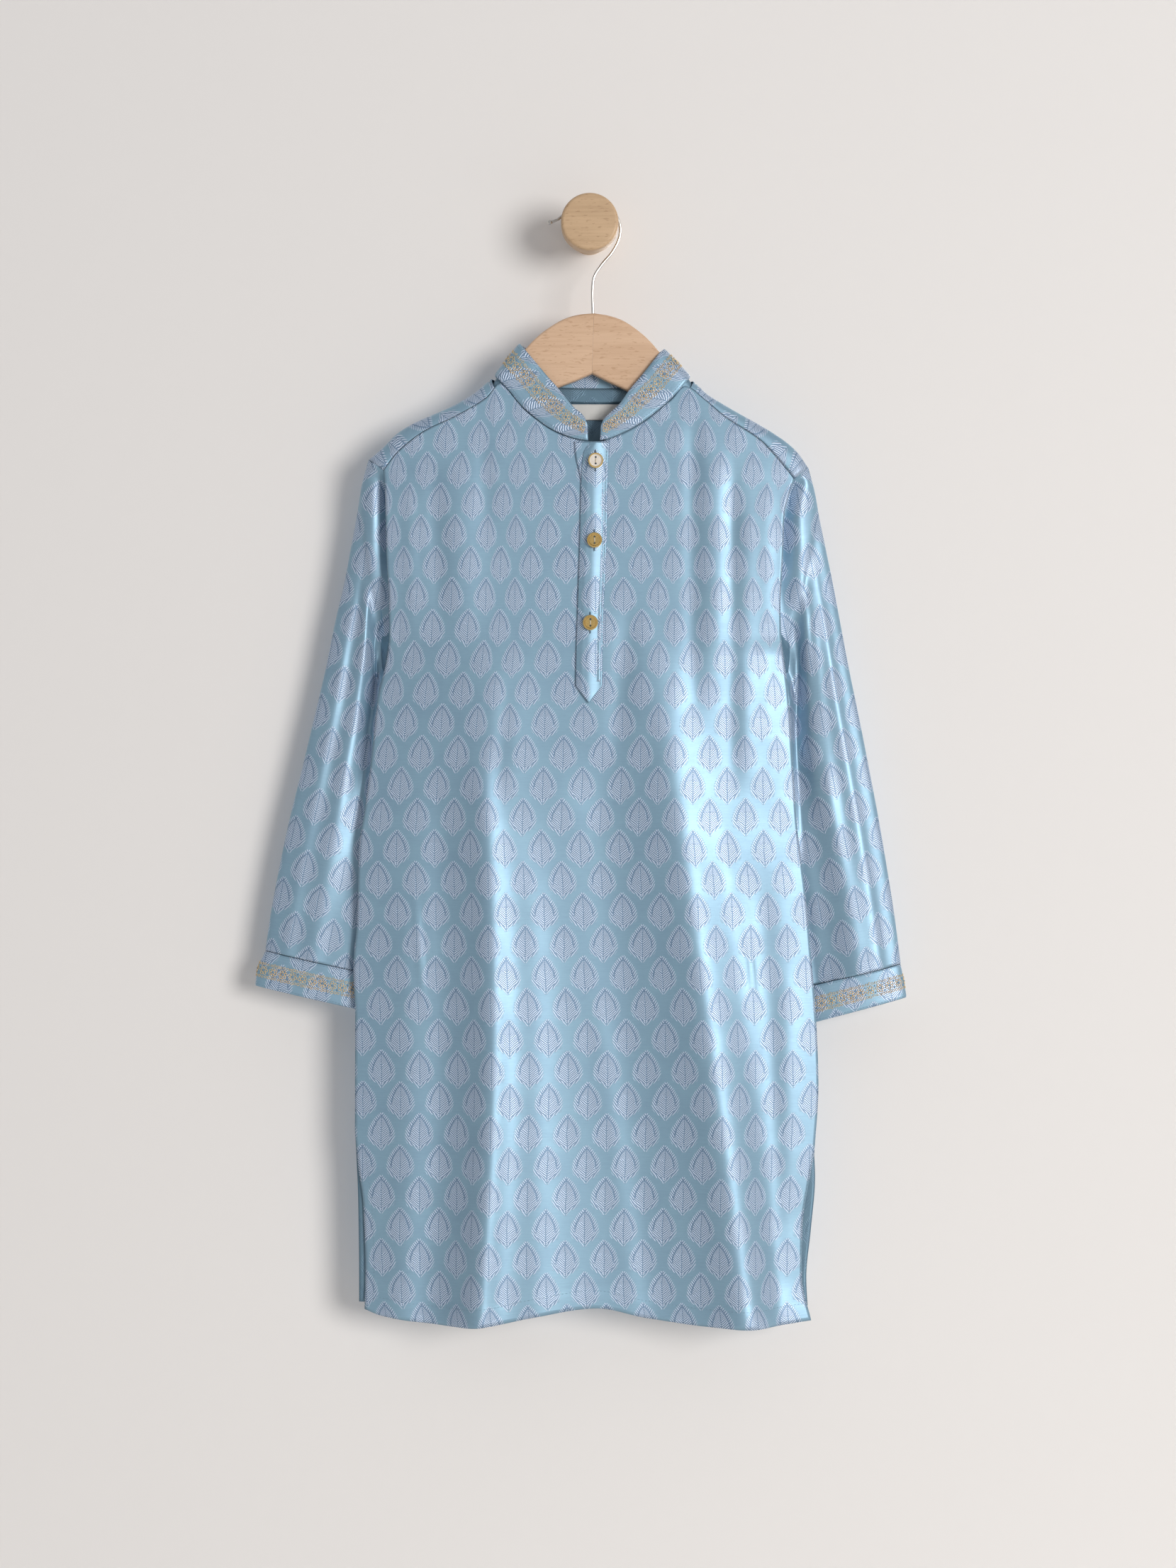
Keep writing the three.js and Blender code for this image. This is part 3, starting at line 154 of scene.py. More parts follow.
LEFT_CUFF = table("x_out z_out x_in z_in front back",
    (-246.8, -548.4, -160.5, -567.6, 35.7, 17.8), (-252.4, -561.8, -160.4, -582.1, 36.2, 17.4),
    (-254.7, -575.1, -161.0, -596.5, 36.2, 17.4),
)
RIGHT_CUFF = table("x_out z_out x_in z_in front back",
    (236.7, -558.5, 156.2, -577.8, 35.7, 17.8), (239.0, -571.4, 156.8, -592.8, 36.2, 17.4),
    (241.3, -584.0, 158.0, -606.2, 36.2, 17.4),
)
COLLAR = table("x z x_up z_up depth",
    (-1.3, -163.2, -1.5, -151.5, 48.6), (-5.0, -162.7, -3.3, -146.6, 48.6),
    (-12.0, -161.3, -6.6, -142.4, 48.5), (-20.0, -158.5, -10.8, -139.2, 48.4),
    (-31.0, -153.2, -18.0, -130.8, 48.2), (-42.0, -145.1, -25.5, -121.7, 47.8),
    (-52.0, -136.1, -31.6, -115.0, 47.4), (-60.0, -126.2, -37.2, -108.2, 47.0),
    (-66.4, -119.2, -43.4, -100.8, 46.6), (-69.6, -115.6, -49.4, -93.4, 44.8),
    (-70.6, -113.6, -52.0, -89.6, 40.0), (-69.6, -115.2, -50.4, -90.4, 35.4),
    (-65.6, -117.8, -47.4, -91.4, 33.7), (-55.0, -119.9, -40.0, -93.0, 33.5),
    (-30.0, -123.0, -23.0, -95.6, 33.4), (3.0, -124.2, 3.0, -96.6, 33.4),
    (34.0, -123.4, 28.0, -96.2, 33.4), (59.0, -121.0, 44.0, -95.6, 33.5),
    (70.4, -118.6, 51.4, -94.8, 33.7), (74.0, -116.4, 54.2, -94.2, 35.4),
    (75.0, -114.8, 55.4, -93.8, 40.0), (74.0, -117.0, 52.6, -96.8, 44.8),
    (70.6, -121.4, 47.6, -103.2, 46.6), (62.6, -130.2, 41.0, -111.6, 47.0),
    (53.5, -138.2, 35.0, -118.8, 47.4), (44.9, -145.3, 29.4, -125.6, 47.8),
    (34.2, -152.3, 22.6, -135.2, 48.2), (23.5, -157.8, 15.6, -142.0, 48.4),
    (15.0, -161.3, 10.6, -147.0, 48.5), (7.7, -163.2, 8.2, -152.0, 48.6),
)
PLACKET = table("z left right",
    (-164.2, 0.6, 14.6), (-172.3, -4.6, 14.1), (-186.7, -6.2, 13.5), (-232.7, -7.3, 12.9),
    (-267.0, -8.3, 11.6), (-294.3, -9.2, 10.2), (-321.5, -10.1, 9.6), (-348.0, -10.6, 9.3),
)
UNDERLAP = table("z left right",
    (-164.2, -11.6, 7.0), (-172.3, -11.0, 8.0), (-200.0, -6.0, 10.0), (-345.0, -9.0, 8.0),
)
HANGER_ARM = table("out top bottom",
    (0, 0.0, -45.8), (12, -1.6, -51.5), (21, -4.4, -55.2), (32, -10.8, -60.5), (42, -18.8, -66.0),
    (52, -29.8, -72.0), (63, -44.0, -79.0), (73, -56.5, -85.0), (90, -69.8, -94.0),
    (105, -79.4, -101.5), (124, -90.4, -108.5), (142, -101.2, -113.5),
)

NECK_LEFT = -67.4
NECK_RIGHT = 71.6
COLLAR_END_LEFT = -1.3
COLLAR_END_RIGHT = 7.5
SEAM_END = 2
BACK_TOP_LEFT = {"shoulder": -72, "turn_out": -70.2, "turn_in": -66, "neck": -58}
BACK_TOP_RIGHT = {"shoulder": 76, "turn_out": 74.4, "turn_in": 70, "neck": 62}
NECK_TURNS = (0.3, 0.55, 0.8, 1)
WRAP_LENGTH = 30.0
OPENING_BOTTOM = -336.0
PLACKET_POINT = 13.1
POCKET_BEHIND = 1.9
LABEL = {"left": -19, "right": 27, "top": -134.0, "bottom": -146.0}

# The broad folds above are the part's own. These narrower ones are the scene's: the fine
# troughs and ridges of the chest, skirt and pockets.
FRONT_CREASES = table("x_top z_top x_low z_low bow wide wide_low high high_low",
    (31, -270, 18, -430, 0, 8, 10, -1.2, -1.0), (77.6, -128, 77.6, -400, 1, 6, 8, -1.1, -0.9),
    (107.5, -165, 107.5, -450, 0, 5.5, 8, -1.3, -1.0), (134, -185, 137, -420, 0, 6, 8, 0.9, 0.8),
    (-60, -330, -72, -460, 0, 5, 7, -0.7, -0.5), (-118, -165, -111, -330, 0, 6, 8, -1.0, -0.8),
    (-137, -180, -133, -330, 0, 5, 6, 0.7, 0.7), (-82, -135, -76, -250, 0, 6, 8, -0.6, -0.5),
    (-84, -380, -86, -850, 11, 11, 13, 2.4, 8.2), (-114, -400, -119, -850, 9, 13, 18, -1.6, -5.4),
    (-141, -480, -146, -850, 4, 10, 13, 0.8, 1.9), (-44, -470, -40, -850, 3, 9, 12, 0.4, 1.1),
    (53, -340, 123, -850, 0, 16, 21, 0.6, 9.2), (8, -380, 52, -850, 0, 22, 32, -1.8, -6.6),
    (126, -470, 146, -850, 0, 12, 13, -1.4, -3.0),
    (150, -540, 152, -850, 0, 8, 10, 0.7, 1.6), (2, -560, 36, -850, 2, 8, 11, 0.3, 1.0),
    (96, -430, 141, -850, 3, 7, 9, -0.4, -1.0),
    (-132.7, -492, -125.0, -596, 0, 2.2, 2.2, 0.9, 0.9),
    (118, -520, 125.5, -600, 0, 2.2, 2.2, 0.9, 0.9),
)
BACK_CREASES = table("x_top z_top x_low z_low bow wide wide_low high high_low",
    (-92, -250, -104, -850, -4, 10, 13, 0.6, 2.0), (-28, -300, -38, -850, 3, 10, 13, -0.5, -1.8),
    (38, -280, 46, -850, -3, 9, 12, -0.5, -1.9), (100, -330, 112, -850, 4, 9, 12, 0.5, 1.7),
    (-128, -480, -136, -850, 0, 8, 11, 0.4, 1.4), (130, -460, 138, -850, 0, 9, 11, -0.3, -1.2),
    (66, -240, 60, -420, 0, 7, 9, -0.6, -0.5), (-70, -240, -60, -400, 0, 7, 9, -0.5, -0.5),
    (12, -400, 18, -850, -2, 8, 10, 0.3, 1.1),
)
# Sleeve folds run across the tube: "around" is the share of the way round, from the outer
# fold over the front (0.25) to the inner fold (0.5) and back behind.
SLEEVE_CREASES_LEFT = table("around_top down_top around_low down_low wide high",
    (0.30, 0.02, 0.38, 0.46, 8, -1.6), (0.22, 0.03, 0.24, 0.62, 9, 1.4),
    (0.36, 0.10, 0.44, 0.70, 6, 1.2), (0.14, 0.06, 0.16, 0.80, 8, -1.0),
    (0.27, 0.30, 0.32, 0.98, 9, -1.1), (0.19, 0.42, 0.21, 1.00, 8, 1.0),
    (0.40, 0.34, 0.41, 1.00, 6, -1.0), (0.08, 0.20, 0.10, 1.00, 7, 0.9),
    (0.62, 0.05, 0.66, 0.60, 9, 1.0), (0.74, 0.10, 0.72, 1.00, 10, -1.0),
    (0.86, 0.20, 0.84, 1.00, 9, 1.0),
)
SLEEVE_CREASES_RIGHT = table("around_top down_top around_low down_low wide high",
    (0.32, 0.02, 0.36, 0.52, 8, -1.5), (0.24, 0.02, 0.27, 0.66, 9, 1.3),
    (0.38, 0.12, 0.42, 0.82, 6, 1.1), (0.15, 0.08, 0.18, 0.90, 8, -0.9),
    (0.30, 0.36, 0.33, 1.00, 9, -1.2), (0.22, 0.46, 0.22, 1.00, 8, 1.1),
    (0.09, 0.16, 0.12, 1.00, 7, 0.8), (0.43, 0.30, 0.44, 1.00, 5, -0.8),
    (0.15, 0.03, 0.17, 1.00, 15, 2.2), (0.39, 0.10, 0.40, 1.00, 9, -1.8),
    (0.60, 0.08, 0.64, 0.70, 9, 1.0), (0.72, 0.06, 0.74, 1.00, 10, -1.0),
    (0.88, 0.24, 0.84, 1.00, 9, 1.0),
)


# Curves and surfaces of the garment

def rows_of(rows):
    """A table's rows, each with its values by name."""
    return [dict(zip(rows, row)) for row in zip(*rows.values())]


def eased(begin, end, f, lead, trail):
    """A cubic from begin to end at f (0 to 1), with the steepness lead and trail at its ends."""
    whole = begin * (1 + 2 * f) * (1 - f) ** 2 + end * f * f * (3 - 2 * f)
    return whole + f * (1 - f) ** 2 * lead + f * f * (f - 1) * trail


def read(rows, key, column, at):
    """A table's column at a place along its key column, on a curve that never swings past
    its rows and holds level beyond them."""
    keys = rows[key]
    values = rows[column]
    if keys[0] > keys[-1]:
        keys = keys[::-1]
        values = values[::-1]
    at = np.clip(np.asarray(at, dtype=float), keys[0], keys[-1])
    rise = np.diff(values) / np.diff(keys)
    together = rise[:-1] * rise[1:]
    total = np.where(together > 0, rise[:-1] + rise[1:], 1.0)
    inner = np.where(together > 0, 2 * together / total, 0.0)
    slope = np.concatenate([rise[:1], inner, rise[-1:]])
    i = np.clip(np.searchsorted(keys, at) - 1, 0, len(keys) - 2)
    span = keys[i + 1] - keys[i]
    f = (at - keys[i]) / span
    return eased(values[i], values[i + 1], f, span * slope[i], span * slope[i + 1])


def mix(a, b, share):
    return a + (b - a) * share


def smooth(t):
    t = np.clip(t, 0.0, 1.0)
    return t * t * (3 - 2 * t)


def spread(stops, counts):
    """Evenly spaced values over several stretches, without repeating the stops."""
    values = [stops[0]]
    for i, count in enumerate(counts):
        values += [mix(stops[i], stops[i + 1], (j + 1) / count) for j in range(count)]
    return np.array(values)


def point(x, depth, z):
    """Points in metres from millimetres."""
    x, depth, z = np.broadcast_arrays(x, depth, z)
    return np.stack([x, -depth, z], axis=-1) * MM


def edge_x(edge, slit, z, face):
    """x of the body's edge, which has a front and a back line below the top of its slit."""
    return np.where(z < slit["z"][0], read(slit, "z", face, z), read(edge, "z", "x", z))


def across(x, z, face):
    """Where x lies between the body's edges, from -1 to 1."""
    left = edge_x(LEFT_EDGE, LEFT_SLIT, z, face)
    right = edge_x(RIGHT_EDGE, RIGHT_SLIT, z, face)
    return np.clip((2 * x - left - right) / (right - left), -1, 1)


def edge_half(rows, z):
    """Half the body's depth at its edge: the shoulder's above the table's first rows, then the
    table's own."""
    return np.where(z > rows["z"][SEAM_END], SHOULDER_HALF, read(rows, "z", "half", z))


def fold_height(folds, x, z):
    """Height of the body's folds at x and z: each is a ridge (or a trough, below 0) along its
    own line, and it fades at its ends unless it runs off the hem."""
    height = np.zeros(np.broadcast(x, z).shape)
    for fold in rows_of(folds):
        down = (fold["z_top"] - z) / (fold["z_top"] - fold["z_low"])
        inside = (down >= 0) & (down <= 1)
        centre = mix(fold["x_top"], fold["x_low"], down) + fold["bow"] * np.sin(np.pi * down)
        wide = mix(fold["wide"], fold["wide_low"], down)
        fade = np.minimum(FOLD_FADE, 0.5 * (fold["z_top"] - fold["z_low"]))
        begin = smooth((fold["z_top"] - z) / fade)
        end = 1.0 if fold["z_low"] < BELOW_HEM else smooth((z - fold["z_low"]) / fade)
        high = mix(fold["high"], fold["high_low"], down)
        height += np.where(inside, high * begin * end * np.exp(-(((x - centre) / wide) ** 2)), 0)
    return height


def front_depth(x, z):
    """Depth of the outer face of the front panel."""
    u = across(x, z, "front")
    edge = mix(edge_half(LEFT_EDGE, z), edge_half(RIGHT_EDGE, z), (u + 1) / 2)
    middle = read(FULLNESS, "z", "front", z)
    full = 1 - np.abs(u) ** read(FULLNESS, "z", "square", z)
    # Folds flatten towards the side seams, the fine creases only close to them.
    fold = fold_height(FRONT_FOLDS, x, z) * (1 - u ** 6)
    crease = fold_height(FRONT_CREASES, x, z) * (1 - u ** 12)
    return MID_DEPTH + edge + (middle - edge) * full + fold + crease


def back_depth(x, z, creased=True):
    """Depth of the outer face of the yoke and back, which look at the wall."""
    u = across(x, z, "back")
    edge = mix(edge_half(LEFT_EDGE, z), edge_half(RIGHT_EDGE, z), (u + 1) / 2)
    middle = read(FULLNESS, "z", "back", z)
    full = smooth((BACK_HOLLOW - np.abs(u)) / (BACK_HOLLOW - BACK_FULL))
    fold = fold_height(BACK_FOLDS, x, z) * full
    crease = fold_height(BACK_CREASES, x, z) * full if creased else 0
    return MID_DEPTH - edge - (middle - edge) * full - fold - crease


def width_at(z, face, share):
    """x at a share of the body's width."""
    left = edge_x(LEFT_EDGE, LEFT_SLIT, np.minimum(z, LEFT_EDGE["z"][SEAM_END]), face)
    right = edge_x(RIGHT_EDGE, RIGHT_SLIT, np.minimum(z, RIGHT_EDGE["z"][SEAM_END]), face)
    return mix(left, right, share)


# Meshes of cloth

def normals_of(grid, closed):
    """Unit normals of a grid, from the directions along its rows and down its columns."""
    if closed:
        along = np.roll(grid, -1, axis=1) - np.roll(grid, 1, axis=1)
    else:
        along = np.gradient(grid, axis=1)
    down = np.gradient(grid, axis=0)
    normal = np.cross(down, along)
    return normal / np.maximum(np.linalg.norm(normal, axis=2, keepdims=True), 1e-12)


def moved(grid, distance, closed=False):
    """The grid moved along its own normals by a distance in millimetres."""
    distance = np.asarray(distance, dtype=float)
    if distance.ndim == 2:
        distance = distance[..., None]
    return grid + normals_of(grid, closed) * distance * MM


def flat_map(grid, middle):
    """Place of each point on the flat cloth in metres: along its row from the middle column,
    and up by its height, so that the weave keeps its size over folds."""
    step = np.linalg.norm(np.diff(grid, axis=1), axis=2)
    along = np.concatenate([np.zeros((len(grid), 1)), np.cumsum(step, axis=1)], axis=1)
    along = along - along[:, middle:middle + 1]
    return np.stack([along, grid[..., 2]], axis=-1)


def linked(name, data):
    """A new object, linked into the scene."""
    made = bpy.data.objects.new(name, data)
    bpy.context.collection.objects.link(made)
    return made


def turned_volume(points, quads):
    """Six times the volume that four-sided faces enclose, below 0 where they look inwards."""
    corners = points[quads]
    first = np.cross(corners[:, 0], corners[:, 1])
    second = np.cross(corners[:, 2], corners[:, 3])
    return (first * corners[:, 2]).sum() + (second * corners[:, 0]).sum()


def path_down(points):
    """Distance in millimetres from the first point to each, along the line through them."""
    step = np.linalg.norm(np.diff(points, axis=0), axis=-1)
    return np.concatenate([np.zeros((1, *step.shape[1:])), np.cumsum(step, axis=0)]) / MM


def shell(name, outer, inner, flat, materials, closed=False, keep=None):
    """A closed sheet between two grids. The outer face takes the first material, the inner
    face the second and the cut edges the third, and the last one given stands for the rest."""
    rows, columns = outer.shape[:2]
    spans = columns if closed else columns - 1
    if keep is None:
        keep = np.ones((rows - 1, spans), dtype=bool)
    r, c = np.nonzero(keep)
    n = (c + 1) % columns
    total = rows * columns
    a = r * columns + c
    b = (r + 1) * columns + c
    d = (r + 1) * columns + n
    e = r * columns + n
    flat_of = np.stack([flat[r, c], flat[r + 1, c], flat[r + 1, c + 1], flat[r, c + 1]], axis=1)
    faces = [np.stack([a, b, d, e], axis=1)]
    flats = [flat_of]
    kinds = [np.zeros(len(a), dtype=int)]
    faces.append(np.stack([e, d, b, a], axis=1) + total)
    flats.append(flat_of[:, ::-1])
    kinds.append(np.ones(len(a), dtype=int))

    def rim(mask, first, second, corner, other):
        start, stop = first[mask], second[mask]
        faces.append(np.stack([start, start + total, stop + total, stop], axis=1))
        near, far = flat_of[mask, corner], flat_of[mask, other]
        flats.append(np.stack([near, near, far, far], axis=1))
        kinds.append(np.full(mask.sum(), 2))

    framed = np.pad(keep, 1)
    if closed:
        framed[1:-1, 0] = keep[:, -1]
        framed[1:-1, -1] = keep[:, 0]
    rim(~framed[r + 1, c], a, b, 0, 1)
    rim(~framed[r + 2, c + 1], b, d, 1, 2)
    rim(~framed[r + 1, c + 2], d, e, 2, 3)
    rim(~framed[r, c + 1], e, a, 3, 0)

    points = np.concatenate([outer.reshape(-1, 3), inner.reshape(-1, 3)])
    faces = np.concatenate(faces)
    flats = np.concatenate(flats)
    kinds = np.concatenate(kinds)
    if turned_volume(points, faces) < 0:
        faces = faces[:, ::-1]
        flats = flats[:, ::-1]
    used, index = np.unique(faces, return_inverse=True)
    return mesh_object(name, points[used], index.reshape(faces.shape), flats, kinds, materials)


def mesh_object(name, points, faces, flats, kinds, materials):
    mesh = bpy.data.meshes.new(name)
    mesh.from_pydata(points.tolist(), [], faces.tolist())
    cloth_map = mesh.uv_layers.new(name="cloth")
    cloth_map.data.foreach_set("uv", flats.reshape(-1).astype(np.float32))
    for material in materials:
        mesh.materials.append(material)
    mesh.polygons.foreach_set("material_index", np.minimum(kinds, len(materials) - 1))
    mesh.polygons.foreach_set("use_smooth", np.ones(len(faces), dtype=bool))
    mesh.update()
    return linked(name, mesh)


# Node recipes

def feed(tree, socket, value):
    """Joins a socket to an amount or to another socket, or sets it to a value."""
    if isinstance(value, Amount):
        value = value.socket
    if isinstance(value, bpy.types.NodeSocket):
        tree.links.new(value, socket)
    else:
        socket.default_value = value


def wire(tree, node, **values):
    """Feeds a node's inputs by their names, with _ for a space."""
    for label, value in values.items():
        feed(tree, node.inputs[label.replace("_", " ")], value)
    return node


def add_node(tree, kind, **values):
    """A new node with its inputs fed by their names."""
    return wire(tree, tree.nodes.new(kind), **values)


class Amount:
    """A number worked out by a chain of maths nodes, written as a plain formula."""

    def __init__(self, tree, socket):
        self.tree = tree
        self.socket = socket

    def step(self, operation, *others):
        node = self.tree.nodes.new("ShaderNodeMath")
        node.operation = operation
        for socket, value in zip(node.inputs, (self, *others)):
            feed(self.tree, socket, value)
        return Amount(self.tree, node.outputs[0])

    def __add__(self, other):
        return self.step("ADD", other)

    def __sub__(self, other):
        return self.step("SUBTRACT", other)

    def __mul__(self, other):
        return self.step("MULTIPLY", other)

    def __truediv__(self, other):
        return self.step("DIVIDE", other)

    def size(self):
        return self.step("ABSOLUTE")

    def wrapped(self, period):
        return self.step("WRAP", period / 2, -period / 2)

    def waves(self, period):
        """1 on each crest and 0 in each trough."""
        return (self * (2 * math.pi / period)).step("COSINE") * 0.5 + 0.5

    def above(self, level, soft):
        """0 below the level, 1 above it, with a soft step."""
        node = add_node(self.tree, "ShaderNodeMapRange", Value=self, From_Min=level - soft,
                        From_Max=level + soft)
        node.interpolation_type = "SMOOTHSTEP"
        return Amount(self.tree, node.outputs["Result"])

    def below(self, level, soft):
        return self.above(level, soft).step("MULTIPLY_ADD", -1.0, 1.0)

    def larger(self, other):
        return self.step("MAXIMUM", other)


def node_group(name, use, inputs, outputs):
    """A node group with its inputs (name, kind, value) and outputs (name, kind)."""
    tree = bpy.data.node_groups.new(name, use + "NodeTree")
    for label, kind, value in inputs:
        socket = tree.interface.new_socket(label, in_out="INPUT", socket_type="NodeSocket" + kind)
        if value is not None:
            socket.default_value = value
    for label, kind in outputs:
        tree.interface.new_socket(label, in_out="OUTPUT", socket_type="NodeSocket" + kind)
    start = tree.nodes.new("NodeGroupInput")
    end = tree.nodes.new("NodeGroupOutput")
    return tree, start, end


# Places of the colour mix node's own inputs and output.
MIX_SHARE = 0
MIX_FIRST = 6
MIX_SECOND = 7
MIX_COLOUR = 2


def mixed(tree, share, first, second):
    """A colour between two, each a socket or a colour."""
    node = tree.nodes.new("ShaderNodeMix")
    node.data_type = "RGBA"
    for place, value in ((MIX_SHARE, share), (MIX_FIRST, first), (MIX_SECOND, second)):
        feed(tree, node.inputs[place], value)
    return node.outputs[MIX_COLOUR]


def noise(tree, place, scale, detail=2.0, stretch=(1, 1, 1), turn=(0, 0, 0)):
    """Cloudy noise round 0.5 at a place in metres."""
    mapping = add_node(tree, "ShaderNodeMapping", Scale=stretch, Rotation=turn, Vector=place)
    node = add_node(tree, "ShaderNodeTexNoise", Scale=scale, Detail=detail,
                    Vector=mapping.outputs["Vector"])
    return Amount(tree, node.outputs["Fac"])


# The woven figure: a pointed leaf of floated threads, in half-drop rows. Millimetres.

REPEAT_ACROSS = 29.6
REPEAT_UP = 47.5
LEAF_HIGH = 29.0
LEAF_HALF = 10.4
# Half width of the leaf from its tail (0) to its tip (1), as a share of LEAF_HALF.
LEAF_OUTLINE = ((0.0, 0.06), (0.05, 0.16), (0.10, 0.30), (0.17, 0.64), (0.26, 0.90), (0.36, 1.0),
                (0.47, 1.0), (0.58, 0.93), (0.70, 0.77), (0.82, 0.54), (0.92, 0.29), (1.0, 0.04))
# Strokes of thread: how steeply they fall away from the rib, and how far apart they are.
COMB_STROKES = (1.35, 2.55)
CLOSE_STROKES = (0.8, 1.6)
NESTED_STROKES = (1.1, 1.35)
COMB_BAND = 2.9  # the short strokes reach this far in from the outline
HEART_BAND = 3.9  # the close strokes of the heart begin this far in
BARE_FROM = 0.42  # the bare line between them begins at this share of the leaf's height
RIB_HALF = 0.28
DROP = 0.5  # every other column of leaves is half a repeat lower


def leaf_group():
    """One leaf round its own middle: where it is, and where its floated threads are."""
    tree, start, end = node_group(
        "woven_leaf", "Shader", [("Across", "Float", 0.0), ("Up", "Float", 0.0)],
        [("Inside", "Float"), ("Threads", "Float")])
    across_leaf = Amount(tree, start.outputs["Across"])
    up = Amount(tree, start.outputs["Up"])
    side = across_leaf.size()
    along = (up + LEAF_HIGH / 2) / LEAF_HIGH
    outline = add_node(tree, "ShaderNodeFloatCurve", Value=along)
    curve = outline.mapping.curves[0]
    curve.points[0].location = LEAF_OUTLINE[0]
    curve.points[1].location = LEAF_OUTLINE[-1]
    for place in LEAF_OUTLINE[1:-1]:
        curve.points.new(*place)
    outline.mapping.update()
    half = Amount(tree, outline.outputs["Value"]) * LEAF_HALF
    within = half - side
    ends = along.above(0.0, 0.01) * along.below(1.0, 0.01)

    def strokes(slope, apart):
        return (up - side * slope).waves(apart)

    # Short strokes round a ragged outline, then a bare line, then close herringbone strokes.
    comb_wave = strokes(*COMB_STROKES)
    inside = (within + (comb_wave - 0.5) * 2.2).above(0.5, 0.45) * ends
    comb = comb_wave.above(0.64, 0.22) * 0.84
    close = strokes(*CLOSE_STROKES).above(0.6, 0.28)
    nested = strokes(*NESTED_STROKES).above(0.62, 0.26)
    upper = along.above(0.62, 0.03)
    heart = within.above(HEART_BAND, 0.25)
    middle = (close * (upper * -1 + 1) + nested * upper) * heart
    between = within.above(COMB_BAND, 0.25) * (heart * -1 + 1)
    bare = between * along.above(BARE_FROM, 0.08)
    lower_middle = close * between * along.below(BARE_FROM, 0.08)
    rim = comb * within.below(COMB_BAND, 0.25)
    rib = side.above(RIB_HALF, 0.16)
    threads = (rim + middle + lower_middle) * (bare * -1 + 1) * rib * inside
    wire(tree, end, Inside=inside, Threads=threads)
    return tree


def satin_group(leaf):
    """Colours and masks of the figured satin, from the piece's own cloth map in metres."""
    tree, start, end = node_group(
        "figured_satin", "Shader",
        [("Ground", "Color", (1, 1, 1, 1)), ("Shade", "Color", (1, 1, 1, 1)),
         ("Thread", "Color", (1, 1, 1, 1)), ("Shift across", "Float", 0.0),
         ("Shift up", "Float", 0.0), ("Relief", "Float", 0.00016)],
        [("Colour", "Color"), ("Gloss", "Float"), ("Normal", "Vector")])
    cloth_map = tree.nodes.new("ShaderNodeUVMap")
    cloth_map.uv_map = "cloth"
    flat_place = cloth_map.outputs["UV"]
    parts = add_node(tree, "ShaderNodeSeparateXYZ", Vector=flat_place)
    shift_across = Amount(tree, start.outputs["Shift across"])
    shift_up = Amount(tree, start.outputs["Shift up"])
    wander = noise(tree, flat_place, 260.0, 1.0) - 0.5
    sway = noise(tree, flat_place, 210.0, 1.0, turn=(0.4, 0.0, 1.1)) - 0.5
    across_cloth = Amount(tree, parts.outputs["X"]) / MM + shift_across + sway * 1.1
    up = Amount(tree, parts.outputs["Y"]) / MM + shift_up + wander * 1.3
    leaves = []
    for drop in (0.0, DROP):
        node = tree.nodes.new("ShaderNodeGroup")
        node.node_tree = leaf
        place = (across_cloth + drop * REPEAT_ACROSS).wrapped(REPEAT_ACROSS)
        height = (up + drop * REPEAT_UP).wrapped(REPEAT_UP)
        wire(tree, node, Across=place, Up=height)
        leaves.append([Amount(tree, node.outputs[label]) for label in ("Inside", "Threads")])
    inside, threads = (first.larger(second) for first, second in zip(*leaves))
    cloud = noise(tree, flat_place, 34.0, 3.0)
    weft = noise(tree, flat_place, 900.0, 2.0, stretch=(0.12, 1, 1))
    ground = mixed(tree, (cloud - 0.5) * 0.5 + (weft - 0.5) * 0.35 + 0.35,
                   start.outputs["Ground"], start.outputs["Shade"])
    # Inside the leaves the ground takes the darker Shade colour: painted shade between the raised
    # strokes and along the bare line.
    figured = mixed(tree, inside * 0.85, ground, start.outputs["Shade"])
    colour = mixed(tree, threads, figured, start.outputs["Thread"])
    gloss = inside * 0.04 - threads * 0.05 + (cloud - 0.5) * 0.08 + 0.44
    relief = threads * 0.8 + inside * 0.25 + (weft - 0.5) * 0.22
    bump = add_node(tree, "ShaderNodeBump", Distance=start.outputs["Relief"], Height=relief)
    wire(tree, end, Colour=colour, Gloss=gloss, Normal=bump.outputs["Normal"])
    return tree


def new_material(name, **sockets):
    """A material with its shader's constants set on the shader's own sockets."""
    material = bpy.data.materials.new(name)
    material.use_nodes = True
    shader = material.node_tree.nodes["Principled BSDF"]
    wire(material.node_tree, shader, **sockets)
    return material, material.node_tree, shader


def satin_material(name, ground, shade, thread, shift=(0.0, 0.0), relief=0.00016, sheen=0.25):
    material, tree, shader = new_material(
        name, Metallic=0.45, Sheen_Weight=sheen, Sheen_Roughness=0.4, Specular_IOR_Level=0.6)
    node = tree.nodes.new("ShaderNodeGroup")
    node.node_tree = SATIN_GROUP
    wire(tree, node, Ground=(*ground, 1), Shade=(*shade, 1), Thread=(*thread, 1),
         Shift_across=shift[0], Shift_up=shift[1], Relief=relief)
    wire(tree, shader, Base_Color=node.outputs["Colour"], Roughness=node.outputs["Gloss"],
         Normal=node.outputs["Normal"])
    return material


def object_place(tree):
    return tree.nodes.new("ShaderNodeTexCoord").outputs["Object"]


def bumped(tree, height, distance, shader):
    """Fine relief on a shader, its height a share of the distance in metres."""
    bump = add_node(tree, "ShaderNodeBump", Distance=distance, Height=height)
    wire(tree, shader, Normal=bump.outputs["Normal"])


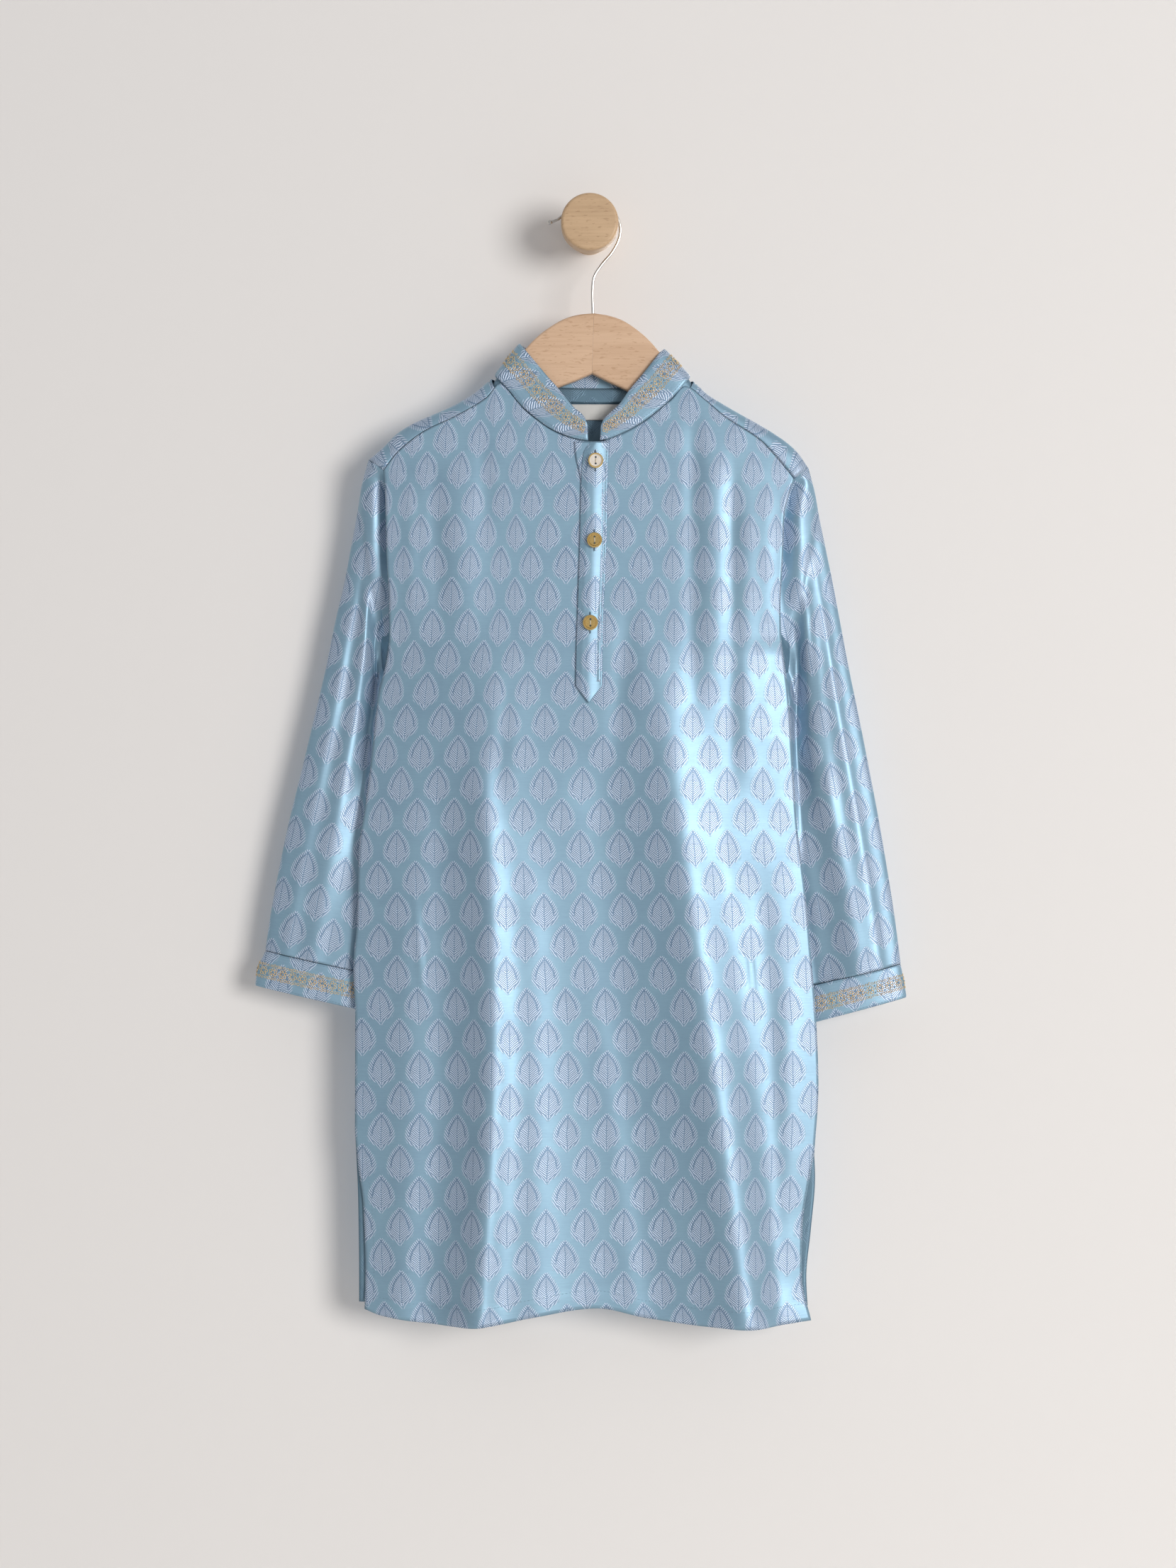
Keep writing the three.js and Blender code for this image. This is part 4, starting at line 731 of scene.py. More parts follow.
def wood_material(name, pale, dark, turn, rough=0.45, coat=0.0):
    """Beech: long soft grain along one direction, with fine short flecks and pores."""
    material, tree, shader = new_material(name, Coat_Weight=coat, Coat_Roughness=0.25)
    place = object_place(tree)
    grain = noise(tree, place, 60.0, 4.0, stretch=(0.16, 1, 1), turn=turn)
    lines = noise(tree, place, 520.0, 2.0, stretch=(0.05, 1, 1), turn=turn)
    flecks = noise(tree, place, 900.0, 1.0, stretch=(0.22, 1, 1), turn=turn).above(0.66, 0.05)
    share = (grain - 0.5) * 1.1 + (lines - 0.5) * 0.9 + flecks * 0.55 + 0.32
    colour = mixed(tree, share, (*pale, 1), (*dark, 1))
    wire(tree, shader, Base_Color=colour, Roughness=(lines - 0.5) * 0.2 + flecks * 0.1 + rough)
    bumped(tree, lines * 0.6 - flecks * 0.5, 0.00008, shader)
    return material


def metal_material(name, colour, worn, rough):
    """Plated metal with fine scratches and a little dulling."""
    material, tree, shader = new_material(name, Metallic=1.0)
    place = object_place(tree)
    cloud = noise(tree, place, 260.0, 3.0)
    scratches = noise(tree, place, 2600.0, 2.0)
    tinted = mixed(tree, (cloud - 0.5) * 1.2 + 0.4, (*colour, 1), (*worn, 1))
    wire(tree, shader, Base_Color=tinted,
         Roughness=(cloud - 0.5) * 0.25 + (scratches - 0.5) * 0.2 + rough)
    bumped(tree, scratches, 0.00002, shader)
    return material


def painted_glare_material(name, middle, rim, gold, glare):
    """A gold rim round a pale middle, told apart by the distance from the button's middle. The pale
    middle is painted glare: the bright reflection of the window on the gilt dish, painted as colour.
    """
    material, tree, shader = new_material(name, Roughness=0.3, Coat_Weight=0.3)
    place = object_place(tree)
    parts = add_node(tree, "ShaderNodeSeparateXYZ", Vector=place)
    right = (Amount(tree, parts.outputs["X"]) - float(middle[0])) / MM
    up = (Amount(tree, parts.outputs["Z"]) - float(middle[2])) / MM
    outside = (right * right + up * up).above(rim * rim, 1.6)
    cloud = noise(tree, place, 380.0, 2.0)
    inner = mixed(tree, (cloud - 0.5) * 1.2 + 0.4, (*glare, 1), (0.62, 0.55, 0.47, 1))
    wire(tree, shader, Base_Color=mixed(tree, outside, inner, (*gold, 1)), Metallic=outside)
    return material


def thread_material(name, colour, dark, metallic=0.0, rough=0.5):
    """Spun thread, with the light and dark of its twist."""
    material, tree, shader = new_material(name, Metallic=metallic, Sheen_Weight=0.2)
    place = object_place(tree)
    twist = noise(tree, place, 2400.0, 2.0)
    cloud = noise(tree, place, 420.0, 1.0)
    tinted = mixed(tree, (twist - 0.5) * 1.6 + (cloud - 0.5) * 1.2 + 0.4, (*colour, 1), (*dark, 1))
    wire(tree, shader, Base_Color=tinted, Roughness=(twist - 0.5) * 0.3 + rough)
    bumped(tree, twist, 0.00006, shader)
    return material


def ribbon_material():
    """Blank woven ribbon with fine cross ribs."""
    material, tree, shader = new_material("label_ribbon", Roughness=0.6, Sheen_Weight=0.3)
    place = object_place(tree)
    parts = add_node(tree, "ShaderNodeSeparateXYZ", Vector=place)
    ribs = Amount(tree, parts.outputs["X"]).waves(0.0005)
    cloud = noise(tree, place, 90.0, 2.0)
    share = ribs * 0.3 + (cloud - 0.5) * 0.8 + 0.2
    wire(tree, shader, Base_Color=mixed(tree, share, (0.74, 0.73, 0.70, 1), (0.58, 0.58, 0.56, 1)))
    bumped(tree, ribs, 0.00005, shader)
    return material


SATIN_GROUP = satin_group(leaf_group())
BLUE = (0.30, 0.49, 0.605)
# BLUE_SHADE is the ground's darker random tone. Inside the leaves it is the painted shade between the
# raised strokes.
BLUE_SHADE = (0.165, 0.255, 0.385)
SILVER = (0.66, 0.76, 0.92)
SATIN_FACE = satin_material("satin", BLUE, BLUE_SHADE, SILVER, shift=(1.8, 185.5))
SATIN_BACK = satin_material(
    "satin_reverse", (0.15, 0.26, 0.34), (0.12, 0.21, 0.29), (0.17, 0.28, 0.37), relief=0.00008,
    sheen=0.1)
PLACKET_SATIN = satin_material(
    "placket_satin", (0.285, 0.475, 0.59), (0.155, 0.24, 0.365), (0.62, 0.72, 0.88),
    shift=(-4.3, 184.5))
COLLAR_SATIN = satin_material("collar_satin", BLUE, BLUE_SHADE, SILVER, shift=(4.0, -10.0))
SEAM_THREAD = thread_material("seam_thread", (0.20, 0.33, 0.42), (0.10, 0.18, 0.25))
GOLD_THREAD = thread_material(
    "gold_thread", (0.88, 0.66, 0.36), (0.60, 0.40, 0.17), metallic=0.25, rough=0.36)
BLUE_THREAD = thread_material("blue_thread", (0.20, 0.34, 0.48), (0.10, 0.18, 0.28))
SEWING_THREAD = thread_material("sewing_thread", (0.62, 0.55, 0.42), (0.40, 0.33, 0.22))
BUTTONHOLE_THREAD = thread_material("buttonhole_thread", (0.10, 0.17, 0.24), (0.05, 0.09, 0.13))
RIBBON = ribbon_material()
HANGER_BEECH = {
    side: wood_material("hanger_beech_" + name, (0.70, 0.48, 0.32), (0.52, 0.32, 0.19),
                        (0, -0.52 * side, 0), 0.4, 0.2)
    for side, name in ((-1, "left"), (1, "right"))
}
PEG_BEECH = wood_material("peg_beech", (0.62, 0.43, 0.26), (0.42, 0.27, 0.15), (0, 0, 0), 0.5)
NICKEL = metal_material("nickel_wire", (0.62, 0.60, 0.57), (0.48, 0.46, 0.43), 0.34)
GILT = metal_material("gilt", (0.86, 0.62, 0.25), (0.66, 0.44, 0.15), 0.26)


# Body panels

HEM_FOLD = 13.5  # the hems are turned up to a stitched line this far above the edge
HEM_CLOTH = 0.2  # extra thickness of the turned-up hem
HEM_STEP = 1.2
FRONT_CUT = (1.8, 2.6)  # the cut down the middle, hidden behind the placket
FRONT_COLUMNS = (40, 24, 2, 1, 2, 24, 40)
FRONT_ROWS = 250
FRONT_ROW_GROWTH = 1.12  # above 1, the rows lie closer together near the top
BACK_ROWS = 200
BACK_ROW_GROWTH = 1.08
WRAP_ROWS = 30
YOKE_ROWS = 26
SHOULDER_COLUMNS = 34
TURN_COLUMNS = 12
NECK_COLUMNS = 44
CLOTH_FACES = [SATIN_FACE, SATIN_BACK]


def thicker_at_hem(height_above_hem):
    """Extra thickness of the cloth where the hem is turned up."""
    return HEM_CLOTH * smooth((HEM_FOLD + HEM_STEP / 2 - height_above_hem) / HEM_STEP)


def front_panel():
    """The front, with its cut down the middle above the placket's point."""
    first, last = FRONT_TOP["x"][0], FRONT_TOP["x"][-1]
    stops = [first, NECK_LEFT, COLLAR_END_LEFT, *FRONT_CUT, COLLAR_END_RIGHT, NECK_RIGHT, last]
    x_top = spread(stops, FRONT_COLUMNS)
    slit = sum(FRONT_COLUMNS[:3])
    z_top = read(FRONT_TOP, "x", "z", x_top) - SHOULDER_GAP
    share = (x_top - first) / (last - first)
    hem_x = mix(FRONT_HEM["x"][0], FRONT_HEM["x"][-1], share)
    hem_z = read(FRONT_HEM, "x", "z", hem_x)
    down = (np.arange(FRONT_ROWS + 1) / FRONT_ROWS)[:, None] ** FRONT_ROW_GROWTH
    z = mix(z_top[None], hem_z[None], down)
    x = width_at(z, "front", share[None])
    extra = thicker_at_hem(z - hem_z[None])
    outer = point(x, front_depth(x, z) + extra, z)
    inner = moved(outer, -SATIN - extra)
    keep = np.ones((FRONT_ROWS, len(x_top) - 1), dtype=bool)
    keep[z[1:, slit] > OPENING_BOTTOM, slit] = False
    return shell("front_cloth", outer, inner, flat_map(outer, slit), CLOTH_FACES, keep=keep), outer


def back_columns():
    """Columns of the yoke and back: where each starts along the forward seam or the neck, and
    how far round the shoulder, from 0 at the forward seam to 1 behind."""
    sides = []
    for edge, top in ((LEFT_EDGE, BACK_TOP_LEFT), (RIGHT_EDGE, BACK_TOP_RIGHT)):
        shoulder = spread([edge["x"][SEAM_END], top["shoulder"]], [SHOULDER_COLUMNS])
        turning = spread([top["turn_out"], top["turn_in"]], [TURN_COLUMNS])
        turn = np.interp(np.linspace(0, 3, TURN_COLUMNS + 1), [0, 1, 2, 3], NECK_TURNS)
        sides.append((np.concatenate([shoulder, turning]), np.concatenate([shoulder * 0, turn])))
    neck = spread([BACK_TOP_LEFT["neck"], BACK_TOP_RIGHT["neck"]], [NECK_COLUMNS])
    (x_left, turn_left), (x_right, turn_right) = sides
    x = np.concatenate([x_left, neck, x_right[::-1]])
    turn = np.concatenate([turn_left, neck * 0 + 1, turn_right[::-1]])
    # The columns keep the shares of the part's own 34 coarser ones, so that the width settles alike.
    left = np.concatenate([np.linspace(0, 7, len(shoulder)), np.linspace(8, 11, len(turning))])
    coarse = np.concatenate([left, np.linspace(12, 21, len(neck)), 33 - left[::-1]])
    return x, turn, coarse / coarse[-1]


def shoulder_point(x_seam, turn):
    """A point on the yoke's path over the shoulder: x, depth and z."""
    angle = np.pi * turn
    lift = np.sin(angle)
    seam_left = LEFT_EDGE["x"][SEAM_END]
    along = (x_seam - seam_left) / (RIGHT_EDGE["x"][SEAM_END] - seam_left)
    top_x = mix(SHOULDER_TOP["x"][0], SHOULDER_TOP["x"][-1], along)
    seam_z = read(FRONT_TOP, "x", "z", x_seam) + SHOULDER_GAP
    top_z = read(SHOULDER_TOP, "x", "z", top_x)
    behind = mix(SHOULDER_HALF, MID_DEPTH - back_depth(x_seam, seam_z, False), smooth(turn))
    depth = MID_DEPTH + behind * np.cos(angle)
    return mix(x_seam, top_x, lift), depth, mix(seam_z, top_z, lift)


def behind_top(x, turn):
    """Where a column of the yoke comes down behind the shoulder or starts at the neck seam."""
    behind = shoulder_point(x, np.ones_like(x))[2]
    return np.where(turn < 1, behind, read(BACK_NECK, "x", "z", x) - SEAM_GAP)


def back_point(x_top, turn, share, z):
    """x and depth of the yoke or back below the shoulder."""
    shift = x_top - mix(LEFT_EDGE["x"][SEAM_END], RIGHT_EDGE["x"][SEAM_END], share)
    settled = smooth((behind_top(x_top, turn) - z) / SHOULDER_BLEND)
    x = width_at(z, "back", share) + shift * (1 - settled)
    return x, back_depth(x, z)


def yoke_panel():
    """From the forward seam over the shoulders, round the neck and down to the yoke's seam."""
    x_top, turn, share = back_columns()
    grid = []
    for r in range(WRAP_ROWS + YOKE_ROWS + 1):
        run = WRAP_LENGTH * min(r / WRAP_ROWS, 1.0)
        down = max(r - WRAP_ROWS, 0) / YOKE_ROWS
        arch_left = (1 - turn) * ARCH_LENGTH
        z_wrapped = behind_top(x_top, turn) - np.maximum(run - arch_left, 0)
        z = mix(z_wrapped, YOKE_SEAM_Z, down)
        x, depth = back_point(x_top, turn, share, z)
        arch = run < arch_left
        x_arch, depth_arch, z_arch = shoulder_point(x_top, np.minimum(turn + run / ARCH_LENGTH, 1))
        grid.append(point(
            np.where(arch, x_arch, x), np.where(arch, depth_arch, depth), np.where(arch, z_arch, z)))
    outer = np.array(grid)
    flat = flat_map(outer, len(x_top) // 2)
    run = path_down(outer)
    flat[..., 1] = (YOKE_SEAM_Z + run[-1:] - run) * MM
    return shell("yoke_cloth", outer, moved(outer, SATIN), flat, CLOTH_FACES)


def back_panel():
    """The back, from the yoke's seam to the hem."""
    x_top, turn, share = back_columns()
    hem_x = mix(BACK_HEM["x"][0], BACK_HEM["x"][-1], share)
    hem_z = read(BACK_HEM, "x", "z", hem_x)
    down = (np.arange(BACK_ROWS + 1) / BACK_ROWS)[:, None] ** BACK_ROW_GROWTH
    z = mix(YOKE_SEAM_Z - SEAM_GAP, hem_z[None], down)
    x, depth = back_point(x_top[None], turn[None], share[None], z)
    extra = thicker_at_hem(z - hem_z[None])
    outer = point(x, depth - extra, z)
    inner = moved(outer, SATIN + extra)
    flat = flat_map(outer, len(x_top) // 2)
    return shell("back_cloth", outer, inner, flat, CLOTH_FACES), outer


# Sleeves and cuffs

AROUND = 112
ROUND_ANGLE = 2 * np.pi * np.arange(AROUND) / AROUND
SLEEVE_ROWS = 190
CREASE_STRENGTH = 1.5
ARM_LEAN = 0.19  # the sleeves' line leans outwards by this share of its length
# The deep fold beside the armhole: its depth, how much shallower it gets below the chest, the
# width of its steep side and its width from there on, above and below.
ARMHOLE_FOLD = {"deep": 13.0, "less": 3.6, "steep": 3.4, "wide": 4.6, "wide_low": 11.0}
CUFF_CLOTH = 1.1
CUFF_ROWS = 30


def tube_section(row, length):
    """A flattened ring: distances along from the outer fold and out from the middle."""
    along = length * (1 - np.cos(ROUND_ANGLE)) / 2
    swell = np.abs(np.sin(ROUND_ANGLE)) ** SLEEVE_ROUND
    half = (row["front"] - row["back"]) / 2
    return along, np.where(ROUND_ANGLE < np.pi, half, -half) * swell


def armhole_ring(rows, side):
    """The sleeve's first ring, along the body's edge from the shoulder to the underarm."""
    top = rows["z"][0]
    length = top - UNDERARM_Z + UNDERARM_TUCK
    along = length * (1 - np.cos(ROUND_ANGLE)) / 2
    half = read(rows, "z", "half", top - along)
    half[AROUND // 2] = 0
    z = top - along
    x = read(rows, "z", "x", z) + side * ARMHOLE_GAP
    return point(x, MID_DEPTH + np.where(ROUND_ANGLE < np.pi, half, -half), z)


def section_ring(row):
    """One ring of a sleeve or cuff, from its outer fold to its inner fold and back."""
    reach = math.hypot(row["x_out"] - row["x_in"], row["z_out"] - row["z_in"])
    along, out = tube_section(row, reach)
    share = along / reach
    middle = (row["front"] + row["back"]) / 2
    return point(
        mix(row["x_out"], row["x_in"], share), middle + out, mix(row["z_out"], row["z_in"], share))


def through(rings, count):
    """Rings on smooth curves through the given ones, evenly spaced, and each one's share."""
    rings = np.array(rings)
    step = np.linalg.norm(np.diff(rings, axis=0), axis=2).mean(axis=1)
    place = np.concatenate([[0], np.cumsum(step)])
    flat = rings.reshape(len(rings), -1)
    at = np.linspace(0, place[-1], count)
    slope = np.gradient(flat, place, axis=0)
    i = np.clip(np.searchsorted(place, at) - 1, 0, len(place) - 2)
    span = (place[i + 1] - place[i])[:, None]
    f = (at[:, None] - place[i][:, None]) / span
    fine = eased(flat[i], flat[i + 1], f, span * slope[i], span * slope[i + 1])
    return fine.reshape(count, -1, 3), at / place[-1]


def sleeve_creases(folds, grid, down):
    """Height of the sleeve's folds at each point of its grid, in millimetres."""
    step = np.linalg.norm(np.roll(grid, -1, axis=1) - grid, axis=2) / MM
    round_path = np.concatenate([np.zeros((len(grid), 1)), np.cumsum(step, axis=1)], axis=1)
    whole = round_path[:, -1:]
    around = round_path[:, :-1]
    height = np.zeros(around.shape)
    for fold in rows_of(folds):
        share = (down - fold["down_top"]) / (fold["down_low"] - fold["down_top"])
        centre = mix(fold["around_top"], fold["around_low"], np.clip(share, 0, 1))[:, None] * whole
        end = 1.0 if fold["down_low"] >= 1 else smooth((1 - share) / 0.35)
        fade = (smooth(share / 0.25) * end * (share >= 0) * (share <= 1))[:, None]
        height += fold["high"] * fade * np.exp(-(((around - centre) / fold["wide"]) ** 2))
    folded = np.sin(np.pi * np.clip(around / (0.5 * whole), 0, 2)) ** 2
    return height * np.minimum(1.0, 2.5 * folded)


def sleeve_map(grid, side):
    """Place on the flat sleeve: up along the arm, and across it round the tube from the
    line down the front."""
    fall = math.sqrt(1 - ARM_LEAN ** 2)
    arm = np.array([side * ARM_LEAN, 0, -fall])
    over = np.array([fall, 0, side * ARM_LEAN])
    path = np.concatenate([grid, grid[:, :1]], axis=1)
    step = np.diff(path, axis=1)
    level = np.sqrt(np.maximum((step ** 2).sum(axis=2) - (step @ arm) ** 2, 0))
    round_path = np.concatenate([np.zeros((len(grid), 1)), np.cumsum(level, axis=1)], axis=1)
    front = AROUND // 4
    round_path = -side * (round_path - round_path[:, front:front + 1])
    return np.stack([round_path + (path[:, front:front + 1] @ over), -(path @ arm)], axis=-1)


def beside_armhole(grid, edge, side):
    """Height of the deep fold in the sleeve's front along the body's edge, in millimetres."""
    x, z = grid[..., 0] / MM, grid[..., 2] / MM
    apart = side * (x - read(edge, "z", "x", z))
    steep = ARMHOLE_FOLD["steep"]
    wide = mix(ARMHOLE_FOLD["wide"], ARMHOLE_FOLD["wide_low"], smooth((-200.0 - z) / 130))
    fold = smooth(apart / steep) * np.exp(-(np.maximum(apart - steep, 0) / wide) ** 2)
    level = smooth((-180.0 - z) / 24) * smooth((z + 500) / 150)
    front = np.clip(np.sin(ROUND_ANGLE), 0, 1) ** 0.4
    deep = ARMHOLE_FOLD["deep"] - ARMHOLE_FOLD["less"] * smooth((-240.0 - z) / 60)
    return -deep * fold * level * front


def sleeve(name, edge, side, rows, folds):
    """A sleeve from the armhole to the cuff, as one tube."""
    rings = [armhole_ring(edge, side)] + [section_ring(row) for row in rows_of(rows)]
    grid, down = through(rings, SLEEVE_ROWS)
    height = CREASE_STRENGTH * sleeve_creases(folds, grid, down) + beside_armhole(grid, edge, side)
    outer = moved(grid, -side * height, closed=True)
    inner = moved(outer, side * SATIN, closed=True)
    return shell(name, outer, inner, sleeve_map(outer, side), CLOTH_FACES, closed=True)


def cuff(name, side, rows):
    """A cuff's band, thinner along its two rolled edges."""
    first, *rest = rows_of(rows)
    first["z_out"] -= SEAM_GAP
    first["z_in"] -= SEAM_GAP
    grid, down = through([section_ring(row) for row in [first, *rest]], CUFF_ROWS)
    rolled = 1 - 0.75 * np.abs(2 * down - 1) ** 14
    rolled = np.repeat(rolled[:, None], AROUND, axis=1)
    outer = moved(grid, side * 0.5 * (1 - rolled), closed=True)
    inner = moved(outer, side * CUFF_CLOTH * rolled, closed=True)
    materials = [COLLAR_SATIN, SATIN_BACK, COLLAR_SATIN]
    return shell(name, outer, inner, sleeve_map(grid, side), materials, closed=True), outer


# Hanger and peg

HANGER_JOINT = 0.04  # from the middle of the joint to each half
HANGER_THICK = 10.0
HANGER_CORNER = 2.6
HANGER_TIP = 4.6  # how far the rounded tip runs on
HANGER_TIP_HIGH = 2.4
HANGER_TILT = math.radians(1.8)
HANGER_X = 3.2
HANGER_Z = -66.2
STEM_RADIUS = 14.4
KNOB_RADIUS = 21.6
KNOB_BACK = 43.0
KNOB_FRONT = 61.0
KNOB_ROUND = 2.6
KNOB_EDGE = 1.2
TURNED_STEPS = 96


def rounded_section(half_high, half_thick, corner, steps=7):
    """Points (up, out) round a rectangle with round corners, from its middle."""
    corner = min(corner, half_high * 0.98)
    points = []
    for way_up, way_out, begin in ((1, 1, 0), (-1, 1, 90), (-1, -1, 180), (1, -1, 270)):
        for angle in np.radians(np.linspace(begin, begin + 90, steps)):
            points.append((way_up * (half_high - corner) + corner * math.cos(angle),
                           way_out * (half_thick - corner) + corner * math.sin(angle)))
    return np.array(points)


def turned_round(rings, name, material):
    """A closed solid through rings of points, with a flat end at each."""
    count, around = rings.shape[:2]
    points = rings.reshape(-1, 3)
    r, c = np.indices((count - 1, around)).reshape(2, -1)
    n = (c + 1) % around
    row, below = r * around, (r + 1) * around
    sides = np.stack([row + c, below + c, below + n, row + n], axis=1)
    last = (count - 1) * around
    faces = [*sides.tolist(), list(range(around)), list(range(last + around - 1, last - 1, -1))]
    ends = sum((np.cross(points[f[0]], points[f[i]]) * points[f[i + 1]]).sum()
               for f in faces[-2:] for i in range(1, around - 1))
    if turned_volume(points, sides) + ends < 0:
        faces = [face[::-1] for face in faces]
    mesh = bpy.data.meshes.new(name)
    mesh.from_pydata(points.tolist(), [], faces)
    mesh.materials.append(material)
    smooth_faces = np.ones(len(faces), dtype=bool)
    smooth_faces[-2:] = False
    mesh.polygons.foreach_set("use_smooth", smooth_faces)
    mesh.update()
    mesh.set_sharp_from_angle(angle=math.radians(40))
    return linked(name, mesh)


def hanger_half(name, side):
    """One half of the hanger, with its flat end at the centre joint."""
    rows = rows_of(HANGER_ARM)
    lines = [(row["out"] + HANGER_JOINT, row["top"], row["bottom"]) for row in rows]
    tip = (rows[-1]["top"] + rows[-1]["bottom"]) / 2
    lines.append((rows[-1]["out"] + HANGER_TIP, tip + HANGER_TIP_HIGH / 2, tip - HANGER_TIP_HIGH / 2))
    edges = through([[(out, 0, top), (out, 0, bottom)] for out, top, bottom in lines], 90)[0]
    rings = []
    for upper, lower in edges:
        half = np.linalg.norm(upper - lower) / 2
        way = (upper - lower) / (2 * half)
        section = rounded_section(half, HANGER_THICK / 2, HANGER_CORNER)
        x = side * ((upper[0] + lower[0]) / 2 + section[:, 0] * way[0])
        z = (upper[2] + lower[2]) / 2 + section[:, 0] * way[2]
        tilted_x = x * math.cos(HANGER_TILT) + z * math.sin(HANGER_TILT)
        tilted_z = z * math.cos(HANGER_TILT) - x * math.sin(HANGER_TILT)
        rings.append(point(HANGER_X + tilted_x, MID_DEPTH + section[:, 1], HANGER_Z + tilted_z))
    return turned_round(np.array(rings), name, HANGER_BEECH[side])


def peg():
    """The turned knob and its stem, with soft edges all round."""
    round_start = KNOB_FRONT - KNOB_ROUND
    profile = [
        (STEM_RADIUS, 0.0), (STEM_RADIUS, KNOB_BACK - KNOB_EDGE), (STEM_RADIUS + 0.3, KNOB_BACK - 0.3),
        (STEM_RADIUS + KNOB_EDGE, KNOB_BACK), (KNOB_RADIUS - KNOB_EDGE, KNOB_BACK),
        (KNOB_RADIUS - 0.35, KNOB_BACK + 0.35), (KNOB_RADIUS, KNOB_BACK + KNOB_EDGE),
        (KNOB_RADIUS, round_start),
    ]
    for angle in np.radians(np.linspace(8, 90, 9)):
        profile.append((KNOB_RADIUS - KNOB_ROUND * (1 - math.cos(angle)),
                        round_start + KNOB_ROUND * math.sin(angle)))
    angle = np.linspace(0, 2 * np.pi, TURNED_STEPS, endpoint=False)
    rings = [point(radius * np.cos(angle), depth, radius * np.sin(angle)) for radius, depth in profile]
    return turned_round(np.array(rings), "turned_peg", PEG_BEECH)


# Collar, strips, label and pocket bags

COLLAR_LOW = point(COLLAR["x"], COLLAR["depth"], COLLAR["z"])
COLLAR_HIGH = point(COLLAR["x_up"], COLLAR["depth"], COLLAR["z_up"])
COLLAR_ROWS = 16
COLLAR_COLUMNS = 260
BINDING_BELOW = 9.0
BINDING_ABOVE = 2.4
BINDING_ENDS = 3  # columns left free at each end of the binding
# A sewn strip: how much it is pressed down, its height over the front along its sewn right
# edge, the widths over which it comes down at its right and left, and its drop at the left.
SEWN_STRIP = {"pressed": 0.85, "edge": 0.62, "right": 12.0, "left": 5.0, "drop": 0.8}
STRIP_FACE = 0.5
LOOSE_STRIP = 0.8
LABEL_CLOTH = 0.35
POCKET_ROUND = 14.0
POCKET_ROUND_FROM = 0.86
POCKET_CLOTH = 1.3


def collar():
    """The stand collar, with rolled edges and thinner ends."""
    fine, along = through(np.stack([COLLAR_LOW, COLLAR_HIGH], axis=1), COLLAR_COLUMNS)
    height = np.linspace(0, 1, COLLAR_ROWS + 1)[:, None]
    grid = mix(fine[None, :, 0], fine[None, :, 1], height[..., None])
    rolled = 1 - 0.55 * np.abs(2 * height - 1) ** 10
    ends = 1 - 0.4 * (np.abs(2 * along - 1) ** 160)[None]
    thick = (COLLAR_CLOTH - 0.3) * rolled * ends
    spare = (COLLAR_CLOTH - thick) / 2
    inner = moved(grid, spare)
    outer = moved(grid, COLLAR_CLOTH - spare)
    flat = flat_map(outer, COLLAR_COLUMNS // 2)
    flat[..., 1] = path_down(outer).mean(axis=1, keepdims=True) * MM
    return shell("collar_cloth", outer, inner, flat, [COLLAR_SATIN]), outer


def neck_binding():
    """The narrow binding inside the neck seam."""
    rise = COLLAR_HIGH - COLLAR_LOW
    rise = rise / np.linalg.norm(rise, axis=1, keepdims=True) * MM
    edges = [COLLAR_LOW - rise * BINDING_BELOW, COLLAR_LOW + rise * BINDING_ABOVE]
    fine = through(np.stack(edges, axis=1), 240)[0][BINDING_ENDS:-BINDING_ENDS]
    up = np.linspace(0, 1, 7)[:, None, None]
    grid = mix(fine[None, :, 0], fine[None, :, 1], up)
    below = 0.15 + 1.5 * (1 - up[..., 0]) ** 0.7 * np.ones(grid.shape[:2])
    outer = moved(grid, -below)
    inner = moved(grid, -below - STRIP_FACE)
    return shell("neck_binding", outer, inner, flat_map(outer, len(fine) // 2), [SATIN_BACK])


def strip(name, material, rows, steps, columns, above, pointed=0.0, seated=False):
    """A strip that lies on the front. A seated one comes down on the cloth along its right
    edge, where it is sewn."""
    level = np.linspace(rows["z"][0], rows["z"][-1], steps + 1)[:, None]
    drop = pointed * np.linspace(0, 1, steps + 1)[:, None]
    share = np.linspace(0, 1, columns + 1)[None]
    left = read(rows, "z", "left", level)
    right = read(rows, "z", "right", level)
    x = mix(left, right, share)
    z = level - drop * (1 - np.abs(2 * share - 1))
    if seated:
        full = above + STRIP_CLOTH - SEWN_STRIP["pressed"]
        raised = smooth((1 - share) * (right - left) / SEWN_STRIP["right"])
        drop_left = SEWN_STRIP["drop"] * (1 - smooth(share * (right - left) / SEWN_STRIP["left"]))
        lift = mix(SEWN_STRIP["edge"], full, raised) - drop_left
    else:
        lift = above + LOOSE_STRIP
    outer = point(x, front_depth(x, z) + lift, z)
    flat = np.stack([x * MM, z * MM], axis=-1)
    return shell(name, outer, moved(outer, -STRIP_FACE), flat, [material]), outer


def neck_label():
    """The blank ribbon inside the back neck, with its lower edge a little bowed."""
    share = np.linspace(0, 1, 41)[None]
    down = np.linspace(0, 1, 13)[:, None]
    x = mix(LABEL["left"], LABEL["right"], share) + 0 * down
    z = mix(LABEL["top"], LABEL["bottom"], down) + 0 * share
    depth = back_depth(x, z) + SATIN + SEAM_GAP + 1.4 + 0.25 * np.sin(np.pi * share) * down
    outer = point(x, depth, z)
    flat = np.stack([x * MM, z * MM], axis=-1)
    return shell("label_ribbon", outer, moved(outer, -LABEL_CLOTH), flat, [RIBBON])


